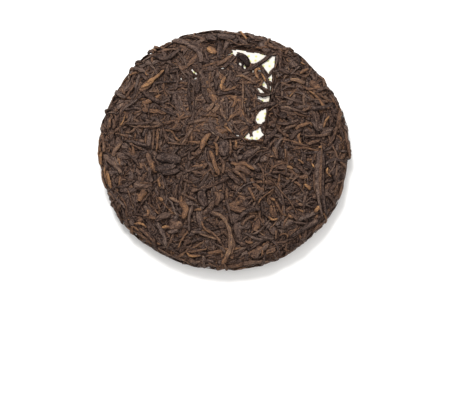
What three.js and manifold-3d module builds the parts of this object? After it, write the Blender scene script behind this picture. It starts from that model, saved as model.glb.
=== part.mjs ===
// A round cake of pressed, fermented tea. It is a flat disc of twisted leaf, gently domed on its face,
// rounded at the rim and dimpled underneath. A paper ticket is pressed into the face, and leaf lies over
// most of it. Millimetres, +Z up. The cake lies on its back on Z = 0, face up, centred on the Z axis.
import * as THREE from "three";
import { mergeVertices } from "three/addons/utils/BufferGeometryUtils.js";
import Module from "manifold-3d";

// The cake, from leaf tip to leaf tip.
const CAKE_RADIUS = 100;
const CENTRE_THICKNESS = 25;

// Strands of leaf. A strand is flattened and tapers to both ends.
const STRAND_SIDES = 5;
const STRAND_STEPS = 4;
const STRAND_THICKNESS = 2.6;
const STRAND_LIFT = 0.4; // of its middle, above the core's skin
const STRAND_DIVE = 1.5; // how far its ends sink below its middle
const BACK_LIFT = 0.1; // of a strand underneath, which the floor trims flat
const BRIDGE_LIFT = 0.9; // of a strand that crosses the bare paper
const BRIDGE_THICKNESS = 2;

// How far the leaf stands out of the packed core: on the face and the rim, and where it is pressed flat underneath.
const LEAF_RELIEF = STRAND_LIFT + STRAND_THICKNESS / 2;
const BACK_RELIEF = 1.1;

// The core's section, worked out from the cake's sizes.
const CORE_RADIUS = CAKE_RADIUS - LEAF_RELIEF;
const CORE_TOP = CENTRE_THICKNESS - LEAF_RELIEF;
const DOME_DROP = 7; // from the centre to the shoulder
const SHOULDER_INSET = 12; // from the rim to where the dome ends
const RIM_HEIGHT = 8.5; // where the cake is widest
const HEEL_INSET = 13; // from the rim to where the flat back begins
const DIMPLE_RADIUS = 30;
const DIMPLE_FLOOR_RADIUS = 7;
const DIMPLE_DEPTH = 9;
const CORE_SIDES = 36;
const CURVE_STEPS = 3; // steps in each curve of the section

// How the outline departs from a circle: number of lobes, height in mm, direction of the first lobe in degrees.
const OUTLINE_LOBES = [
  [2, 0.3, 137],
  [3, 0.4, 100],
  [4, 0.4, 23],
  [6, 0.2, 0],
  [7, 0.2, 17],
  [9, 0.2, 13],
];

// The ticket: a nearly square slip of paper, turned a little clockwise, just under the core's skin.
const TICKET_WIDTH = 73;
const TICKET_HEIGHT = 75;
const TICKET_TURN = -8.6; // degrees
const TICKET_CENTRE = [0.2, 45];
const TICKET_THICKNESS = 0.4;
const TICKET_DEPTH = 1.5; // from the core's skin to the middle of the paper
const TICKET_GAP = 0.35; // left round the paper on every side
const TICKET_CELLS = 8;

// Where the leaf leaves the ticket bare: along its top edge and down its right side.
const BARE_OUTLINE = [
  [3, 76],
  [8, 84],
  [24, 81.5],
  [43.5, 79.5],
  [41.5, 62],
  [36.5, 30],
  [32, 4],
  [26, 1.5],
  [15, 4.5],
  [23, 13],
  [25, 25],
  [30, 33],
  [26, 42],
  [30, 60],
  [21, 70],
];

// The strands that stand out on the face: x, y, heading in degrees, length, width, bend in degrees.
const FACE_STRANDS = [
  [77, -17, -91, 34, 7, 4],
  [75, -45, -88, 34, 6.5, -8],
  [3.5, -79, -92, 36, 6, 4],
  [15, -57, 35, 31, 5.5, -50],
  [-8, -52, -40, 22, 4.5, -10],
  [-45, 74, 20, 27, 6, 45],
  [-27, 85, -4, 24, 5.5, -10],
  [-19.5, 71, -85, 26, 5.5, 5],
  [-18, 45, -72, 30, 4.5, 45],
  [-24, 39, -88, 42, 3.6, 3],
  [-59, 54, 33, 21, 4.6, 8],
  [-57, 40, -35, 27, 3.8, 6],
  [-71, -11, -48, 25, 3.2, -20],
  [-45, -14, -20, 23, 10, 12],
  [-54, 4, -92, 21, 4.4, 3],
  [-66, 19, 10, 30, 3, 30],
  [-60, 15.4, 1, 25, 2.6, 0],
  [-17, 1.5, -127, 25, 4.4, 40],
  [-7.5, -14, -70, 25, 3.4, 10],
  [14, -16, -15, 23, 3.4, -20],
  [16, -22.5, -25, 17, 4.2, -10],
  [4, -20, -55, 16, 5.4, 0],
  [-15, -27, -135, 17, 5, 0],
  [-15, -43, -72, 17, 6.5, 8],
  [-31, -50, -90, 25, 4.2, -50],
  [-50, -58.5, 30, 25, 4.6, -60],
  [-61.5, -69.5, -40, 24, 3, 5],
  [-12.5, -74, -16, 18, 4, -4],
  [-22, -60, -92, 30, 3, 0],
  [13, -80, -88, 19, 8, 0],
  [41, 3, -65, 29, 4.8, 10],
  [46, 18.5, 3, 27, 3.4, 20],
  [62, 16.5, 20, 18, 3.4, -25],
  [58, 9.5, 40, 17, 4.2, 0],
  [71, 3.5, 22, 13, 4, 0],
  [47, -40, -52, 34, 2.8, -8],
  [34, -42, 40, 22, 2.6, 8],
  [65, -66, 25, 27, 4.8, 6],
  [54, 53.5, -5, 17, 5, 8],
  [83, 43, 5, 21, 3.4, -14],
  [80, 49.5, 8, 19, 3.2, -24],
  [56, 32, 12, 38, 2.6, 32],
  [15, 94, -62, 18, 3.6, 6],
  [14, 86.5, -8, 27, 2.8, 20],
  [0, 51, 76, 16, 3.6, 12],
  [18, 58, -25, 22, 3.6, -30],
  [-3.5, 79, 88, 15, 5, 0],
  [81, 21.5, -115, 12, 3, 0],
];

// The strands that cross the bare paper, each rooted in the leaf at both ends.
const BRIDGE_STRANDS = [
  [23, 68, 28, 42, 3, 40],
  [38, 55, -55, 36, 4, 8],
  [32, 41, 3, 27, 3.2, 16],
  [31, 32, 8, 28, 3, -8],
  [27, 16, 2, 24, 4, 10],
  [14, 72, -82, 27, 5, -24],
];

// The rest is scattered evenly: how many strands, and their least and greatest length and width.
const STRAND_LENGTH = [18, 34];
const STRAND_WIDTH = [3.6, 6.2];
const FACE_FILL = 40;
const FACE_FILL_RADIUS = 84;
const FACE_CLEARANCE = 8; // between a scattered strand's middle and the middle of one that is placed
const RIM_STRANDS = 33;
const RIM_ROWS = 3;
const RIM_LOWEST = 5;
const RIM_HIGHEST = 14;
const BACK_FILL = 32;
const REST_STRANDS = 8; // an even ring of broad strands underneath, pressed flat: the cake rests on them
const REST_RADIUS = 62;
const REST_WIDTH = 8;
const REST_LIFT = 0.4;
const RANDOM_SEED = 357;

const TAU = 2 * Math.PI;
const GOLDEN_ANGLE = Math.PI * (3 - Math.sqrt(5));
const WELD = 1e-4;
const wasm = await Module();
wasm.setup();

// Even random numbers from 0 to 1, the same on every run.
function seededRandom(seed) {
  let state = seed;
  return () => {
    state = (Math.imul(state, 1664525) + 1013904223) >>> 0;
    return state / 2 ** 32;
  };
}

const random = seededRandom(RANDOM_SEED);
const between = ([low, high]) => low + (high - low) * random();
const spread = (half) => half * (2 * random() - 1);

// The core's section, from the middle of the dimple round the rim to the middle of the face: x is the radius.
function coreSection() {
  const flat = CORE_RADIUS - HEEL_INSET;
  const shoulder = CORE_RADIUS - SHOULDER_INSET;
  const shoulderHeight = CORE_TOP - DOME_DROP;
  const section = new THREE.Path();
  section.moveTo(0, DIMPLE_DEPTH);
  section.lineTo(DIMPLE_FLOOR_RADIUS, DIMPLE_DEPTH);
  section.bezierCurveTo(
    DIMPLE_RADIUS * 0.6,
    DIMPLE_DEPTH,
    DIMPLE_RADIUS * 0.7,
    BACK_RELIEF,
    DIMPLE_RADIUS,
    BACK_RELIEF,
  );
  section.lineTo(flat, BACK_RELIEF);
  section.quadraticCurveTo(CORE_RADIUS, BACK_RELIEF, CORE_RADIUS, RIM_HEIGHT);
  section.quadraticCurveTo(CORE_RADIUS, shoulderHeight - 1, shoulder, shoulderHeight);
  section.quadraticCurveTo(shoulder * 0.55, CORE_TOP, 0, CORE_TOP);
  return section;
}

const SECTION = coreSection();
const SECTION_POINTS = SECTION.getSpacedPoints(400);

// How much further out than a circle the outline lies in a direction, as a factor.
function outlineFactor(angle) {
  const lobes = OUTLINE_LOBES.map(([count, height, first]) => {
    return height * Math.cos(count * (angle - THREE.MathUtils.degToRad(first)));
  });
  return 1 + lobes.reduce((sum, lobe) => sum + lobe, 0) / CAKE_RADIUS;
}

// The point of the core's skin that is nearest to a point, and the outward normal there.
function onSkin(point) {
  const angle = Math.atan2(point.y, point.x);
  const factor = outlineFactor(angle);
  const target = new THREE.Vector2(Math.hypot(point.x, point.y) / factor, point.z);
  let nearest = 1;
  SECTION_POINTS.forEach((p, i) => {
    const isInner = i > 0 && i < SECTION_POINTS.length - 1;
    if (isInner && p.distanceToSquared(target) < SECTION_POINTS[nearest].distanceToSquared(target)) nearest = i;
  });
  const along = SECTION_POINTS[nearest + 1].clone().sub(SECTION_POINTS[nearest - 1]);
  const { x: radius, y: height } = SECTION_POINTS[nearest];
  const normal = new THREE.Vector3(Math.cos(angle) * along.y, Math.sin(angle) * along.y, -along.x);
  return {
    base: new THREE.Vector3(Math.cos(angle) * radius * factor, Math.sin(angle) * radius * factor, height),
    normal: normal.normalize(),
  };
}

// The height of the face above a point of the plane.
function faceHeight(x, y) {
  const radius = Math.hypot(x, y) / outlineFactor(Math.atan2(y, x));
  const upper = SECTION_POINTS.filter((p) => p.y > RIM_HEIGHT).reverse();
  const next = Math.max(1, upper.findIndex((p) => p.x >= radius));
  const [inner, outer] = [upper[next - 1], upper[next]];
  return THREE.MathUtils.mapLinear(radius, inner.x, outer.x, inner.y, outer.y);
}

// A closed three.js geometry as a solid for joining and cutting.
function solidOf(geometry) {
  const bare = geometry.clone();
  bare.deleteAttribute("normal");
  bare.deleteAttribute("uv");
  const welded = mergeVertices(bare, WELD);
  return new wasm.Manifold(
    new wasm.Mesh({
      numProp: 3,
      vertProperties: welded.attributes.position.array,
      triVerts: new Uint32Array(welded.index.array),
    }),
  );
}

function geometryOf(solid) {
  const mesh = solid.getMesh();
  const geometry = new THREE.BufferGeometry();
  geometry.setAttribute("position", new THREE.BufferAttribute(mesh.vertProperties, 3));
  geometry.setIndex(new THREE.BufferAttribute(mesh.triVerts, 1));
  geometry.computeVertexNormals();
  return geometry;
}

// Moves every point of a geometry by a function that is given the point and returns the new one.
function reshape(geometry, move) {
  const position = geometry.attributes.position;
  for (let i = 0; i < position.count; i++) {
    const moved = move(new THREE.Vector3().fromBufferAttribute(position, i));
    position.setXYZ(i, moved.x, moved.y, moved.z);
  }
  return geometry;
}

function coreSolid() {
  const lathe = new THREE.LatheGeometry(SECTION.getPoints(CURVE_STEPS), CORE_SIDES);
  lathe.rotateX(Math.PI / 2);
  return solidOf(
    reshape(lathe, (p) => {
      const factor = outlineFactor(Math.atan2(p.y, p.x));
      return new THREE.Vector3(p.x * factor, p.y * factor, p.z);
    }),
  );
}

// Stations along a strand, from end to end: the skin below it, the normal, and the direction along the strand.
function stationsOf({ start, direction, length, bend, steps }) {
  const halves = [-1, 1].map((way) => {
    const stations = [];
    const heading = direction.clone().multiplyScalar(way);
    let { base, normal } = onSkin(start);
    for (let i = 0; i <= steps / 2; i++) {
      heading.projectOnPlane(normal).normalize();
      stations.push({ base, normal, along: heading.clone().multiplyScalar(way) });
      heading.applyAxisAngle(normal, (way * bend) / steps);
      ({ base, normal } = onSkin(base.clone().addScaledVector(heading, length / steps)));
    }
    return stations;
  });
  return [...halves[0].slice(1).reverse(), ...halves[1]];
}

// A strand of leaf that follows the core's skin: a stretched sphere, flattened and bent to its stations.
function strandSolid({ start, direction, length, width, bend, lift = STRAND_LIFT, thickness = STRAND_THICKNESS }) {
  const stations = stationsOf({ start, direction, length, bend, steps: STRAND_STEPS });
  const sphere = new THREE.SphereGeometry(1, STRAND_SIDES, STRAND_STEPS);
  return solidOf(
    reshape(sphere, (p) => {
      const share = Math.acos(THREE.MathUtils.clamp(p.y, -1, 1)) / Math.PI;
      const { base, normal, along } = stations[Math.round(share * STRAND_STEPS)];
      const round = Math.hypot(p.x, p.z);
      const full = round < WELD ? 0 : Math.sqrt(round) / round;
      const side = new THREE.Vector3().crossVectors(normal, along);
      return base
        .clone()
        .addScaledVector(side, (p.x * full * width) / 2)
        .addScaledVector(normal, (p.z * full * thickness) / 2 + lift - STRAND_DIVE * (2 * share - 1) ** 4);
    }),
  );
}

// A strand on the face, from a row of one of the tables.
function faceStrand([x, y, heading, length, width, bend], extra = {}) {
  const turn = THREE.MathUtils.degToRad(heading);
  return strandSolid({
    start: new THREE.Vector3(x, y, faceHeight(x, y)),
    direction: new THREE.Vector3(Math.cos(turn), Math.sin(turn), 0),
    length,
    width,
    bend: THREE.MathUtils.degToRad(bend),
    ...extra,
  });
}

// Whether a strand of that length, placed at a point of the face, would reach the bare paper.
function nearBarePaper(x, y, length) {
  return BARE_OUTLINE.some(([u, v]) => Math.hypot(u - x, v - y) < length / 2 + 1);
}

// Strands spread over the face by the sunflower rule, in the room that the placed ones leave.
function* faceFill() {
  for (let i = 0; i < FACE_FILL; i++) {
    const radius = FACE_FILL_RADIUS * Math.sqrt((i + 0.5) / FACE_FILL);
    const x = radius * Math.cos(i * GOLDEN_ANGLE);
    const y = radius * Math.sin(i * GOLDEN_ANGLE);
    const heading = 360 * random();
    const length = between(STRAND_LENGTH);
    const row = [x, y, heading, length, between(STRAND_WIDTH), spread(40)];
    const isCrowded = FACE_STRANDS.some(([u, v]) => Math.hypot(u - x, v - y) < FACE_CLEARANCE);
    if (!isCrowded && !nearBarePaper(x, y, length)) yield faceStrand(row);
  }
}

// Strands round the rim, in rows, which lie mostly along it.
function* rimStrands() {
  for (let i = 0; i < RIM_STRANDS; i++) {
    const angle = (TAU * (i + spread(0.3))) / RIM_STRANDS;
    const height = THREE.MathUtils.mapLinear(i % RIM_ROWS, 0, RIM_ROWS - 1, RIM_LOWEST, RIM_HIGHEST);
    yield strandSolid({
      start: new THREE.Vector3(CAKE_RADIUS * Math.cos(angle), CAKE_RADIUS * Math.sin(angle), height),
      direction: new THREE.Vector3(-Math.sin(angle), Math.cos(angle), spread(0.35)),
      length: between(STRAND_LENGTH),
      width: between(STRAND_WIDTH) * 0.8,
      bend: 0,
    });
  }
}

// One strand underneath.
function backStrand(radius, angle, heading, extra = {}) {
  return strandSolid({
    start: new THREE.Vector3(radius * Math.cos(angle), radius * Math.sin(angle), BACK_RELIEF),
    direction: new THREE.Vector3(Math.cos(heading), Math.sin(heading), 0),
    length: between(STRAND_LENGTH),
    width: between(STRAND_WIDTH),
    bend: spread(0.5),
    lift: BACK_LIFT,
    ...extra,
  });
}

function* backStrands() {
  for (let i = 0; i < REST_STRANDS; i++) {
    const angle = (TAU * i) / REST_STRANDS;
    yield backStrand(REST_RADIUS, angle, angle + Math.PI / 2, { width: REST_WIDTH, lift: REST_LIFT });
  }
  for (let i = 0; i < BACK_FILL; i++) {
    const radius = CORE_RADIUS * 0.92 * Math.sqrt((i + 0.5) / BACK_FILL);
    const angle = (i + 0.5) * GOLDEN_ANGLE;
    const isOnRest = Math.abs(radius - REST_RADIUS) < 5;
    if (!isOnRest) yield backStrand(radius, angle, TAU * random());
  }
}

// A slab that follows the face where the ticket lies: its lowest and highest level, measured from the core's skin.
function faceSlab(lowest, highest, margin) {
  const slab = new THREE.BoxGeometry(
    TICKET_WIDTH + 2 * margin,
    TICKET_HEIGHT + 2 * margin,
    highest - lowest,
    TICKET_CELLS,
    TICKET_CELLS,
    1,
  );
  slab.translate(0, 0, (highest + lowest) / 2);
  slab.rotateZ(THREE.MathUtils.degToRad(TICKET_TURN));
  slab.translate(...TICKET_CENTRE, 0);
  return reshape(slab, (p) => p.setZ(p.z + faceHeight(p.x, p.y)));
}

// What is taken away above the ticket, inside the bare outline.
function bareWindow() {
  const outline = new THREE.Shape(BARE_OUTLINE.map(([x, y]) => new THREE.Vector2(x, y)));
  const prism = new THREE.ExtrudeGeometry(outline, { depth: 2 * CENTRE_THICKNESS, bevelEnabled: false });
  return solidOf(prism).intersect(solidOf(faceSlab(-TICKET_DEPTH, CENTRE_THICKNESS / 2, TICKET_GAP)));
}

function floorSolid() {
  const floor = new THREE.BoxGeometry(3 * CAKE_RADIUS, 3 * CAKE_RADIUS, CENTRE_THICKNESS);
  return solidOf(floor.translate(0, 0, -CENTRE_THICKNESS / 2));
}

// The largest connected piece of a solid, without sealed hollows.
function largestPiece(solid) {
  return solid.decompose().reduce((a, b) => (b.volume() > a.volume() ? b : a));
}

function cakeSolid() {
  const halfPaper = TICKET_THICKNESS / 2 + TICKET_GAP;
  const slot = solidOf(faceSlab(-TICKET_DEPTH - halfPaper, -TICKET_DEPTH + halfPaper, TICKET_GAP));
  const pressed = [...FACE_STRANDS.map((row) => faceStrand(row)), ...faceFill(), ...rimStrands(), ...backStrands()];
  const bridges = BRIDGE_STRANDS.map((row) => faceStrand(row, { lift: BRIDGE_LIFT, thickness: BRIDGE_THICKNESS }));
  const packed = pressed.reduce((sum, strand) => sum.add(strand), coreSolid());
  const opened = packed.subtract(bareWindow());
  const bridged = bridges.reduce((sum, strand) => sum.add(strand), opened);
  return largestPiece(bridged.subtract(slot).subtract(floorSolid()));
}

function material(color, roughness) {
  return new THREE.MeshStandardMaterial({ color, roughness, metalness: 0 });
}

function cakeMesh() {
  const mesh = new THREE.Mesh(geometryOf(cakeSolid()), material(0x4e3e36, 0.7));
  mesh.name = "pressed_leaf";
  return mesh;
}

function ticketMesh() {
  const half = TICKET_THICKNESS / 2;
  const paper = solidOf(faceSlab(-TICKET_DEPTH - half, -TICKET_DEPTH + half, 0));
  const mesh = new THREE.Mesh(geometryOf(paper), material(0xf3f0e4, 0.9));
  mesh.name = "paper_ticket";
  return mesh;
}

const teaCake = new THREE.Group();
teaCake.name = "tea_cake";
teaCake.add(cakeMesh(), ticketMesh());

// The leaf tips reach unevenly far, so the whole is centred by its box.
const middle = new THREE.Box3().setFromObject(teaCake).getCenter(new THREE.Vector3());
teaCake.position.set(-middle.x, -middle.y, 0);

export default teaCake;
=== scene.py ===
"""A round cake of pressed pu erh tea, laid leaf by leaf over a packed core, with its paper ticket."""

import logging
import math
from dataclasses import dataclass, field
from enum import Enum
from typing import Any, ClassVar, Optional, Sequence, Union

import bpy
import numpy as np
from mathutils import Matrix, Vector


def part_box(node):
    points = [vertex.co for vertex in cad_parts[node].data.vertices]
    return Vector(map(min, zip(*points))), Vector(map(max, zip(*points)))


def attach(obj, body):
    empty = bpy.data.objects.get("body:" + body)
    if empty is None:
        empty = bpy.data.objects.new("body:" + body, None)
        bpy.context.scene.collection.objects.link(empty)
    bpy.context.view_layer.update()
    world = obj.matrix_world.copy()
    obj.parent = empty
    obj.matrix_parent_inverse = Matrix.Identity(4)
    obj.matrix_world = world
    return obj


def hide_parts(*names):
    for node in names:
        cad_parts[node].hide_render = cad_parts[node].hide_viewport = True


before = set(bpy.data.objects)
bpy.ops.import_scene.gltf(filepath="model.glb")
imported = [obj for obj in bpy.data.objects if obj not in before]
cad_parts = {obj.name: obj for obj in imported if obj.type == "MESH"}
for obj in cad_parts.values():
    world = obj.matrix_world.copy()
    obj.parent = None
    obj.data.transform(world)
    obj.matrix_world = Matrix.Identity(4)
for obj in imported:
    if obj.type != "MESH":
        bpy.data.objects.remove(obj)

MM = 0.001
TURN = 2 * math.pi
GOLDEN_ANGLE = math.pi * (3 - math.sqrt(5))
ROOT = "root"
LEAF_NODE = "pressed_leaf"
TICKET_NODE = "paper_ticket"
SEED = 357

log = logging.getLogger("tea_cake")
Point = tuple[float, float]
Colour = tuple[float, float, float, float]
Lines = tuple[np.ndarray, np.ndarray, np.ndarray]  # The points, normals and directions along strands.
MASK_OFF: Colour = (0, 0, 0, 1)
MASK_ON: Colour = (1, 1, 1, 1)
NOISE_MIDDLE = 0.5


def linear(red: float, green: float, blue: float) -> Colour:
    """Turns a screen colour into the colour that a shader takes.

    Args:
        red: Red, from 0 to 255.
        green: Green, from 0 to 255.
        blue: Blue, from 0 to 255.

    Returns:
        Linear red, green, blue and an alpha of 1.
    """
    parts = [c / 255 for c in (red, green, blue)]
    low, high = [c / 12.92 for c in parts], [((c + 0.055) / 1.055) ** 2.4 for c in parts]
    return (*[a if c <= 0.04045 else b for c, a, b in zip(parts, low, high)], 1.0)


class Value:
    """A number in a shader, which Python's operators work on."""

    def __init__(self, shader: "Shader", socket: bpy.types.NodeSocket) -> None:
        """Wraps an output socket of a shader's node."""
        self.shader = shader
        self.socket = socket

    def _math(self, operation: str, first: Any, second: Any) -> "Value":
        """Adds a Math node on two numbers or values."""
        return self.shader.node("ShaderNodeMath", {"operation": operation}, {0: first, 1: second})

    def __add__(self, other: Any) -> "Value":
        """self + other"""
        return self._math("ADD", self, other)

    def __radd__(self, other: Any) -> "Value":
        """other + self"""
        return self._math("ADD", other, self)

    def __sub__(self, other: Any) -> "Value":
        """self - other"""
        return self._math("SUBTRACT", self, other)

    def __rsub__(self, other: Any) -> "Value":
        """other - self"""
        return self._math("SUBTRACT", other, self)

    def __mul__(self, other: Any) -> "Value":
        """self * other"""
        return self._math("MULTIPLY", self, other)

    def __rmul__(self, other: Any) -> "Value":
        """other * self"""
        return self._math("MULTIPLY", other, self)


class Shader:
    """One material's nodes."""

    def __init__(self, name: str) -> None:
        """Starts a material with a Principled shader alone.

        Args:
            name: The material's name.
        """
        self.material = bpy.data.materials.new(name)
        self.material.use_nodes = True
        self.tree = self.material.node_tree
        self.surface = next(n for n in self.tree.nodes if n.type == "BSDF_PRINCIPLED")

    def node(
        self,
        kind: str,
        settings: Optional[dict[str, Any]] = None,
        inputs: Optional[dict[Union[int, str], Any]] = None,
        output: Union[int, str] = 0,
    ) -> Value:
        """Adds a node.

        Args:
            kind: The node's type.
            settings: What is set on the node before its sockets, such as an operation or a ramp's stops.
            inputs: A number, a colour or a Value for each of its sockets that needs one.
            output: The socket that is wanted.

        Returns:
            That output.
        """
        made = self.tree.nodes.new(kind)
        for name, setting in (settings or {}).items():
            if name == "stops":
                self._set_stops(made.color_ramp, setting)
            else:
                setattr(made, name, setting)
        for name, value in (inputs or {}).items():
            self._feed(made.inputs[name], value)
        return Value(self, made.outputs[output])

    def _feed(self, socket: bpy.types.NodeSocket, value: Any) -> None:
        """Links a Value to a socket, or sets a number or a colour on it.

        Args:
            socket: The socket.
            value: What it gets.
        """
        if isinstance(value, Value):
            self.tree.links.new(value.socket, socket)
        else:
            socket.default_value = value

    @staticmethod
    def _set_stops(ramp: bpy.types.ColorRamp, stops: Sequence[tuple[float, Colour]]) -> None:
        """Gives a colour ramp its stops.

        Args:
            ramp: The ramp.
            stops: The place and the colour of each, from the lowest up.
        """
        for place, _ in stops[len(ramp.elements) :]:
            ramp.elements.new(place)
        for element, (place, colour) in zip(ramp.elements, stops):
            element.position = place
            element.color = colour

    def attribute(self, name: str) -> Value:
        """Reads a vector that each vertex of a piece carries."""
        return self.node("ShaderNodeAttribute", {"attribute_name": name}, output="Vector")

    def own_place(self) -> Value:
        """Reads where a point lies on its piece."""
        return self.node("ShaderNodeTexCoord", output="Object")

    def noise(self, place: Value, scale: float, detail: float) -> Value:
        """Adds a noise."""
        return self.node("ShaderNodeTexNoise", {}, {"Vector": place, "Scale": scale, "Detail": detail})

    def ramp(self, place: Value, stops: Sequence[tuple[float, Colour]]) -> Value:
        """Adds a colour ramp."""
        return self.node("ShaderNodeValToRGB", {"stops": stops}, {"Fac": place})

    def mix(self, share: Any, first: Any, second: Any) -> Value:
        """Mixes two colours."""
        sockets = {"Factor": share, 6: first, 7: second}
        return self.node("ShaderNodeMix", {"data_type": "RGBA"}, sockets, output=2)

    def bump(self, height: Value, distance: float) -> Value:
        """Adds a bump for the Normal socket."""
        return self.node("ShaderNodeBump", {}, {"Height": height, "Distance": distance})

    def finish(self, **sockets: Any) -> bpy.types.Material:
        """Feeds the Principled shader.

        Args:
            **sockets: A number, a colour or a Value for each socket, named with underscores for spaces.

        Returns:
            The material.
        """
        for name, value in sockets.items():
            self._feed(self.surface.inputs[name.replace("_", " ")], value)
        return self.material


class Tone(Enum):
    """A strand's place on the leaf's colour ramps, and its least and greatest coolness."""

    # Near black: a tone for strands that stand in for a shadowed hollow, as painted shade.
    BLACK = (-0.05, 0.5, 1.0)
    DEEP = (0.19, 0.5, 1.0)
    DARK = (0.25, 0.2, 1.0)
    GREY = (0.36, 0.6, 1.0)
    BROWN = (0.41, 0.0, 0.5)
    PALE = (0.54, 0.3, 0.6)
    AMBER = (0.53, 0.0, 0.1)
    GOLD = (0.72, 0.0, 0.1)

    @property
    def lightness(self) -> float:
        """The place on the colour ramps alone."""
        return self.value[0]


@dataclass(frozen=True)
class LeafFinish:
    """Dry fermented leaf: streaked and wrinkled along each strand, and matt with a faint sheen."""

    name: str = "dried_leaf"
    warm: tuple[Colour, ...] = (
        linear(24, 11, 6),
        linear(65, 46, 36),
        linear(95, 69, 52),
        linear(121, 87, 60),
        linear(168, 125, 80),
    )
    cool: tuple[Colour, ...] = (
        linear(22, 11, 7),
        linear(64, 51, 46),
        linear(90, 75, 68),
        linear(121, 101, 84),
        linear(165, 138, 106),
    )
    roughness: float = 0.42
    streak_roughness: float = 0.3
    gloss: float = 0.12
    streak_scale: float = 1.15
    streak_share: float = 1.1
    patch_scale: float = 0.5
    patch_share: float = 0.15
    patch_detail: float = 2.0
    fleck_scale: float = 1300.0
    fleck_share: float = 1.4
    edge_share: float = 0.1
    edge_warmth: float = 0.5
    wrinkle_scale: float = 1.3
    wrinkle_height: float = 1.4 * MM
    detail: float = 3.0

    def material(self) -> bpy.types.Material:
        """Builds the material from each strand's finish and its grain.

        Returns:
            The material. It reads the tone, with its painted shade, the coolness and the edge from the
            attribute "finish".
        """
        shader = Shader(self.name)
        finish, grain = shader.attribute("finish"), shader.attribute("grain")
        tone, cool, edge = (shader.node("ShaderNodeSeparateXYZ", {}, {0: finish}, output=i) for i in range(3))
        streak = shader.noise(grain, self.streak_scale, self.detail)
        patch = shader.noise(grain, self.patch_scale, self.patch_detail)
        wrinkle = shader.noise(grain, self.wrinkle_scale, self.detail)
        fleck = shader.noise(shader.own_place(), self.fleck_scale, self.detail)
        place = tone + (streak - NOISE_MIDDLE) * self.streak_share + (patch - NOISE_MIDDLE) * self.patch_share
        place = place + (fleck - NOISE_MIDDLE) * self.fleck_share + edge * self.edge_share
        warm_leaf, cool_leaf = (shader.ramp(place, self._stops(leaf)) for leaf in (self.warm, self.cool))
        return shader.finish(
            Base_Color=shader.mix(cool * (1 - edge * self.edge_warmth), warm_leaf, cool_leaf),
            Roughness=streak * self.streak_roughness + self.roughness,
            Specular_IOR_Level=self.gloss,
            Normal=shader.bump(wrinkle, self.wrinkle_height),
        )

    @staticmethod
    def _stops(colours: Sequence[Colour]) -> list[tuple[float, Colour]]:
        """Spaces the stops of a colour ramp evenly."""
        return [(i / (len(colours) - 1), colour) for i, colour in enumerate(colours)]


@dataclass(frozen=True)
class CoreFinish:
    """Leaf dust and broken leaf between the strands, dark and dull."""

    name: str = "packed_core"
    deep: Colour = linear(20, 11, 7)
    deep_to: float = 0.3
    dusty: Colour = linear(62, 42, 30)
    dusty_from: float = 0.75
    roughness: float = 0.85
    gloss: float = 0.15
    grain_scale: float = 700.0
    grain_detail: float = 5.0
    grain_height: float = 0.6 * MM

    def material(self) -> bpy.types.Material:
        """Builds the material from a fine noise on the piece's own coordinates.

        Returns:
            The material.
        """
        shader = Shader(self.name)
        grain = shader.noise(shader.own_place(), self.grain_scale, self.grain_detail)
        return shader.finish(
            Base_Color=shader.ramp(grain, [(self.deep_to, self.deep), (self.dusty_from, self.dusty)]),
            Roughness=self.roughness,
            Specular_IOR_Level=self.gloss,
            Normal=shader.bump(grain, self.grain_height),
        )


@dataclass(frozen=True)
class PaperFinish:
    """Soft uncoated ticket paper with small pale green dots and a few stains from the leaf."""

    name: str = "ticket_paper"
    paper: Colour = linear(204, 198, 190)
    dot: Colour = linear(176, 180, 88)
    stain: Colour = linear(196, 172, 136)
    dot_spacing: float = 5.0 * MM
    dot_radius: float = 0.72 * MM
    dot_blur: float = 1.7
    dot_jitter: float = 0.55
    dot_share: float = 0.75
    stain_scale: float = 90.0
    stain_detail: float = 4.0
    stain_from: float = 0.52
    stain_to: float = 0.76
    stain_share: float = 0.5
    fibre_scale: float = 2500.0
    fibre_detail: float = 2.0
    fibre_height: float = 0.05 * MM
    roughness: float = 0.9

    def material(self) -> bpy.types.Material:
        """Builds the material: dots at nearly even places, faint stains and a fibre bump.

        Returns:
            The material.
        """
        shader = Shader(self.name)
        place = shader.own_place()
        spread = {"Vector": place, "Scale": 1 / self.dot_spacing, "Randomness": self.dot_jitter}
        apart = shader.node("ShaderNodeTexVoronoi", {"feature": "F1", "voronoi_dimensions": "2D"}, spread)
        edge = self.dot_radius / self.dot_spacing
        dots = shader.ramp(apart, [(edge, MASK_ON), (edge * self.dot_blur, MASK_OFF)])
        patches = shader.noise(place, self.stain_scale, self.stain_detail)
        stains = shader.ramp(patches, [(self.stain_from, MASK_OFF), (self.stain_to, MASK_ON)])
        stained = shader.mix(stains * self.stain_share, self.paper, self.stain)
        fibres = shader.noise(place, self.fibre_scale, self.fibre_detail)
        return shader.finish(
            Base_Color=shader.mix(dots * self.dot_share, stained, self.dot),
            Roughness=self.roughness,
            Normal=shader.bump(fibres, self.fibre_height),
        )


def bezier(controls: Sequence[Point], steps: int) -> np.ndarray:
    """Gives points along a Bezier curve.

    Args:
        controls: The curve's control points.
        steps: How many steps it is cut into.

    Returns:
        An array of steps + 1 points.
    """
    share = np.linspace(0, 1, steps + 1)[:, None]
    layers = [np.asarray(c, float) + 0 * share for c in controls]
    while len(layers) > 1:
        layers = [a + (b - a) * share for a, b in zip(layers, layers[1:])]
    return layers[0]


def turned(points: np.ndarray, degrees: float) -> np.ndarray:
    """Turns points of the plane about its middle."""
    cos, sin = math.cos(math.radians(degrees)), math.sin(math.radians(degrees))
    return points @ np.array([[cos, sin], [-sin, cos]])


def swung(ahead: np.ndarray, up: np.ndarray, angle: np.ndarray) -> np.ndarray:
    """Swings directions about the normals that they lie square to."""
    return ahead * np.cos(angle)[:, None] + np.cross(up, ahead) * np.sin(angle)[:, None]


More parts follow.
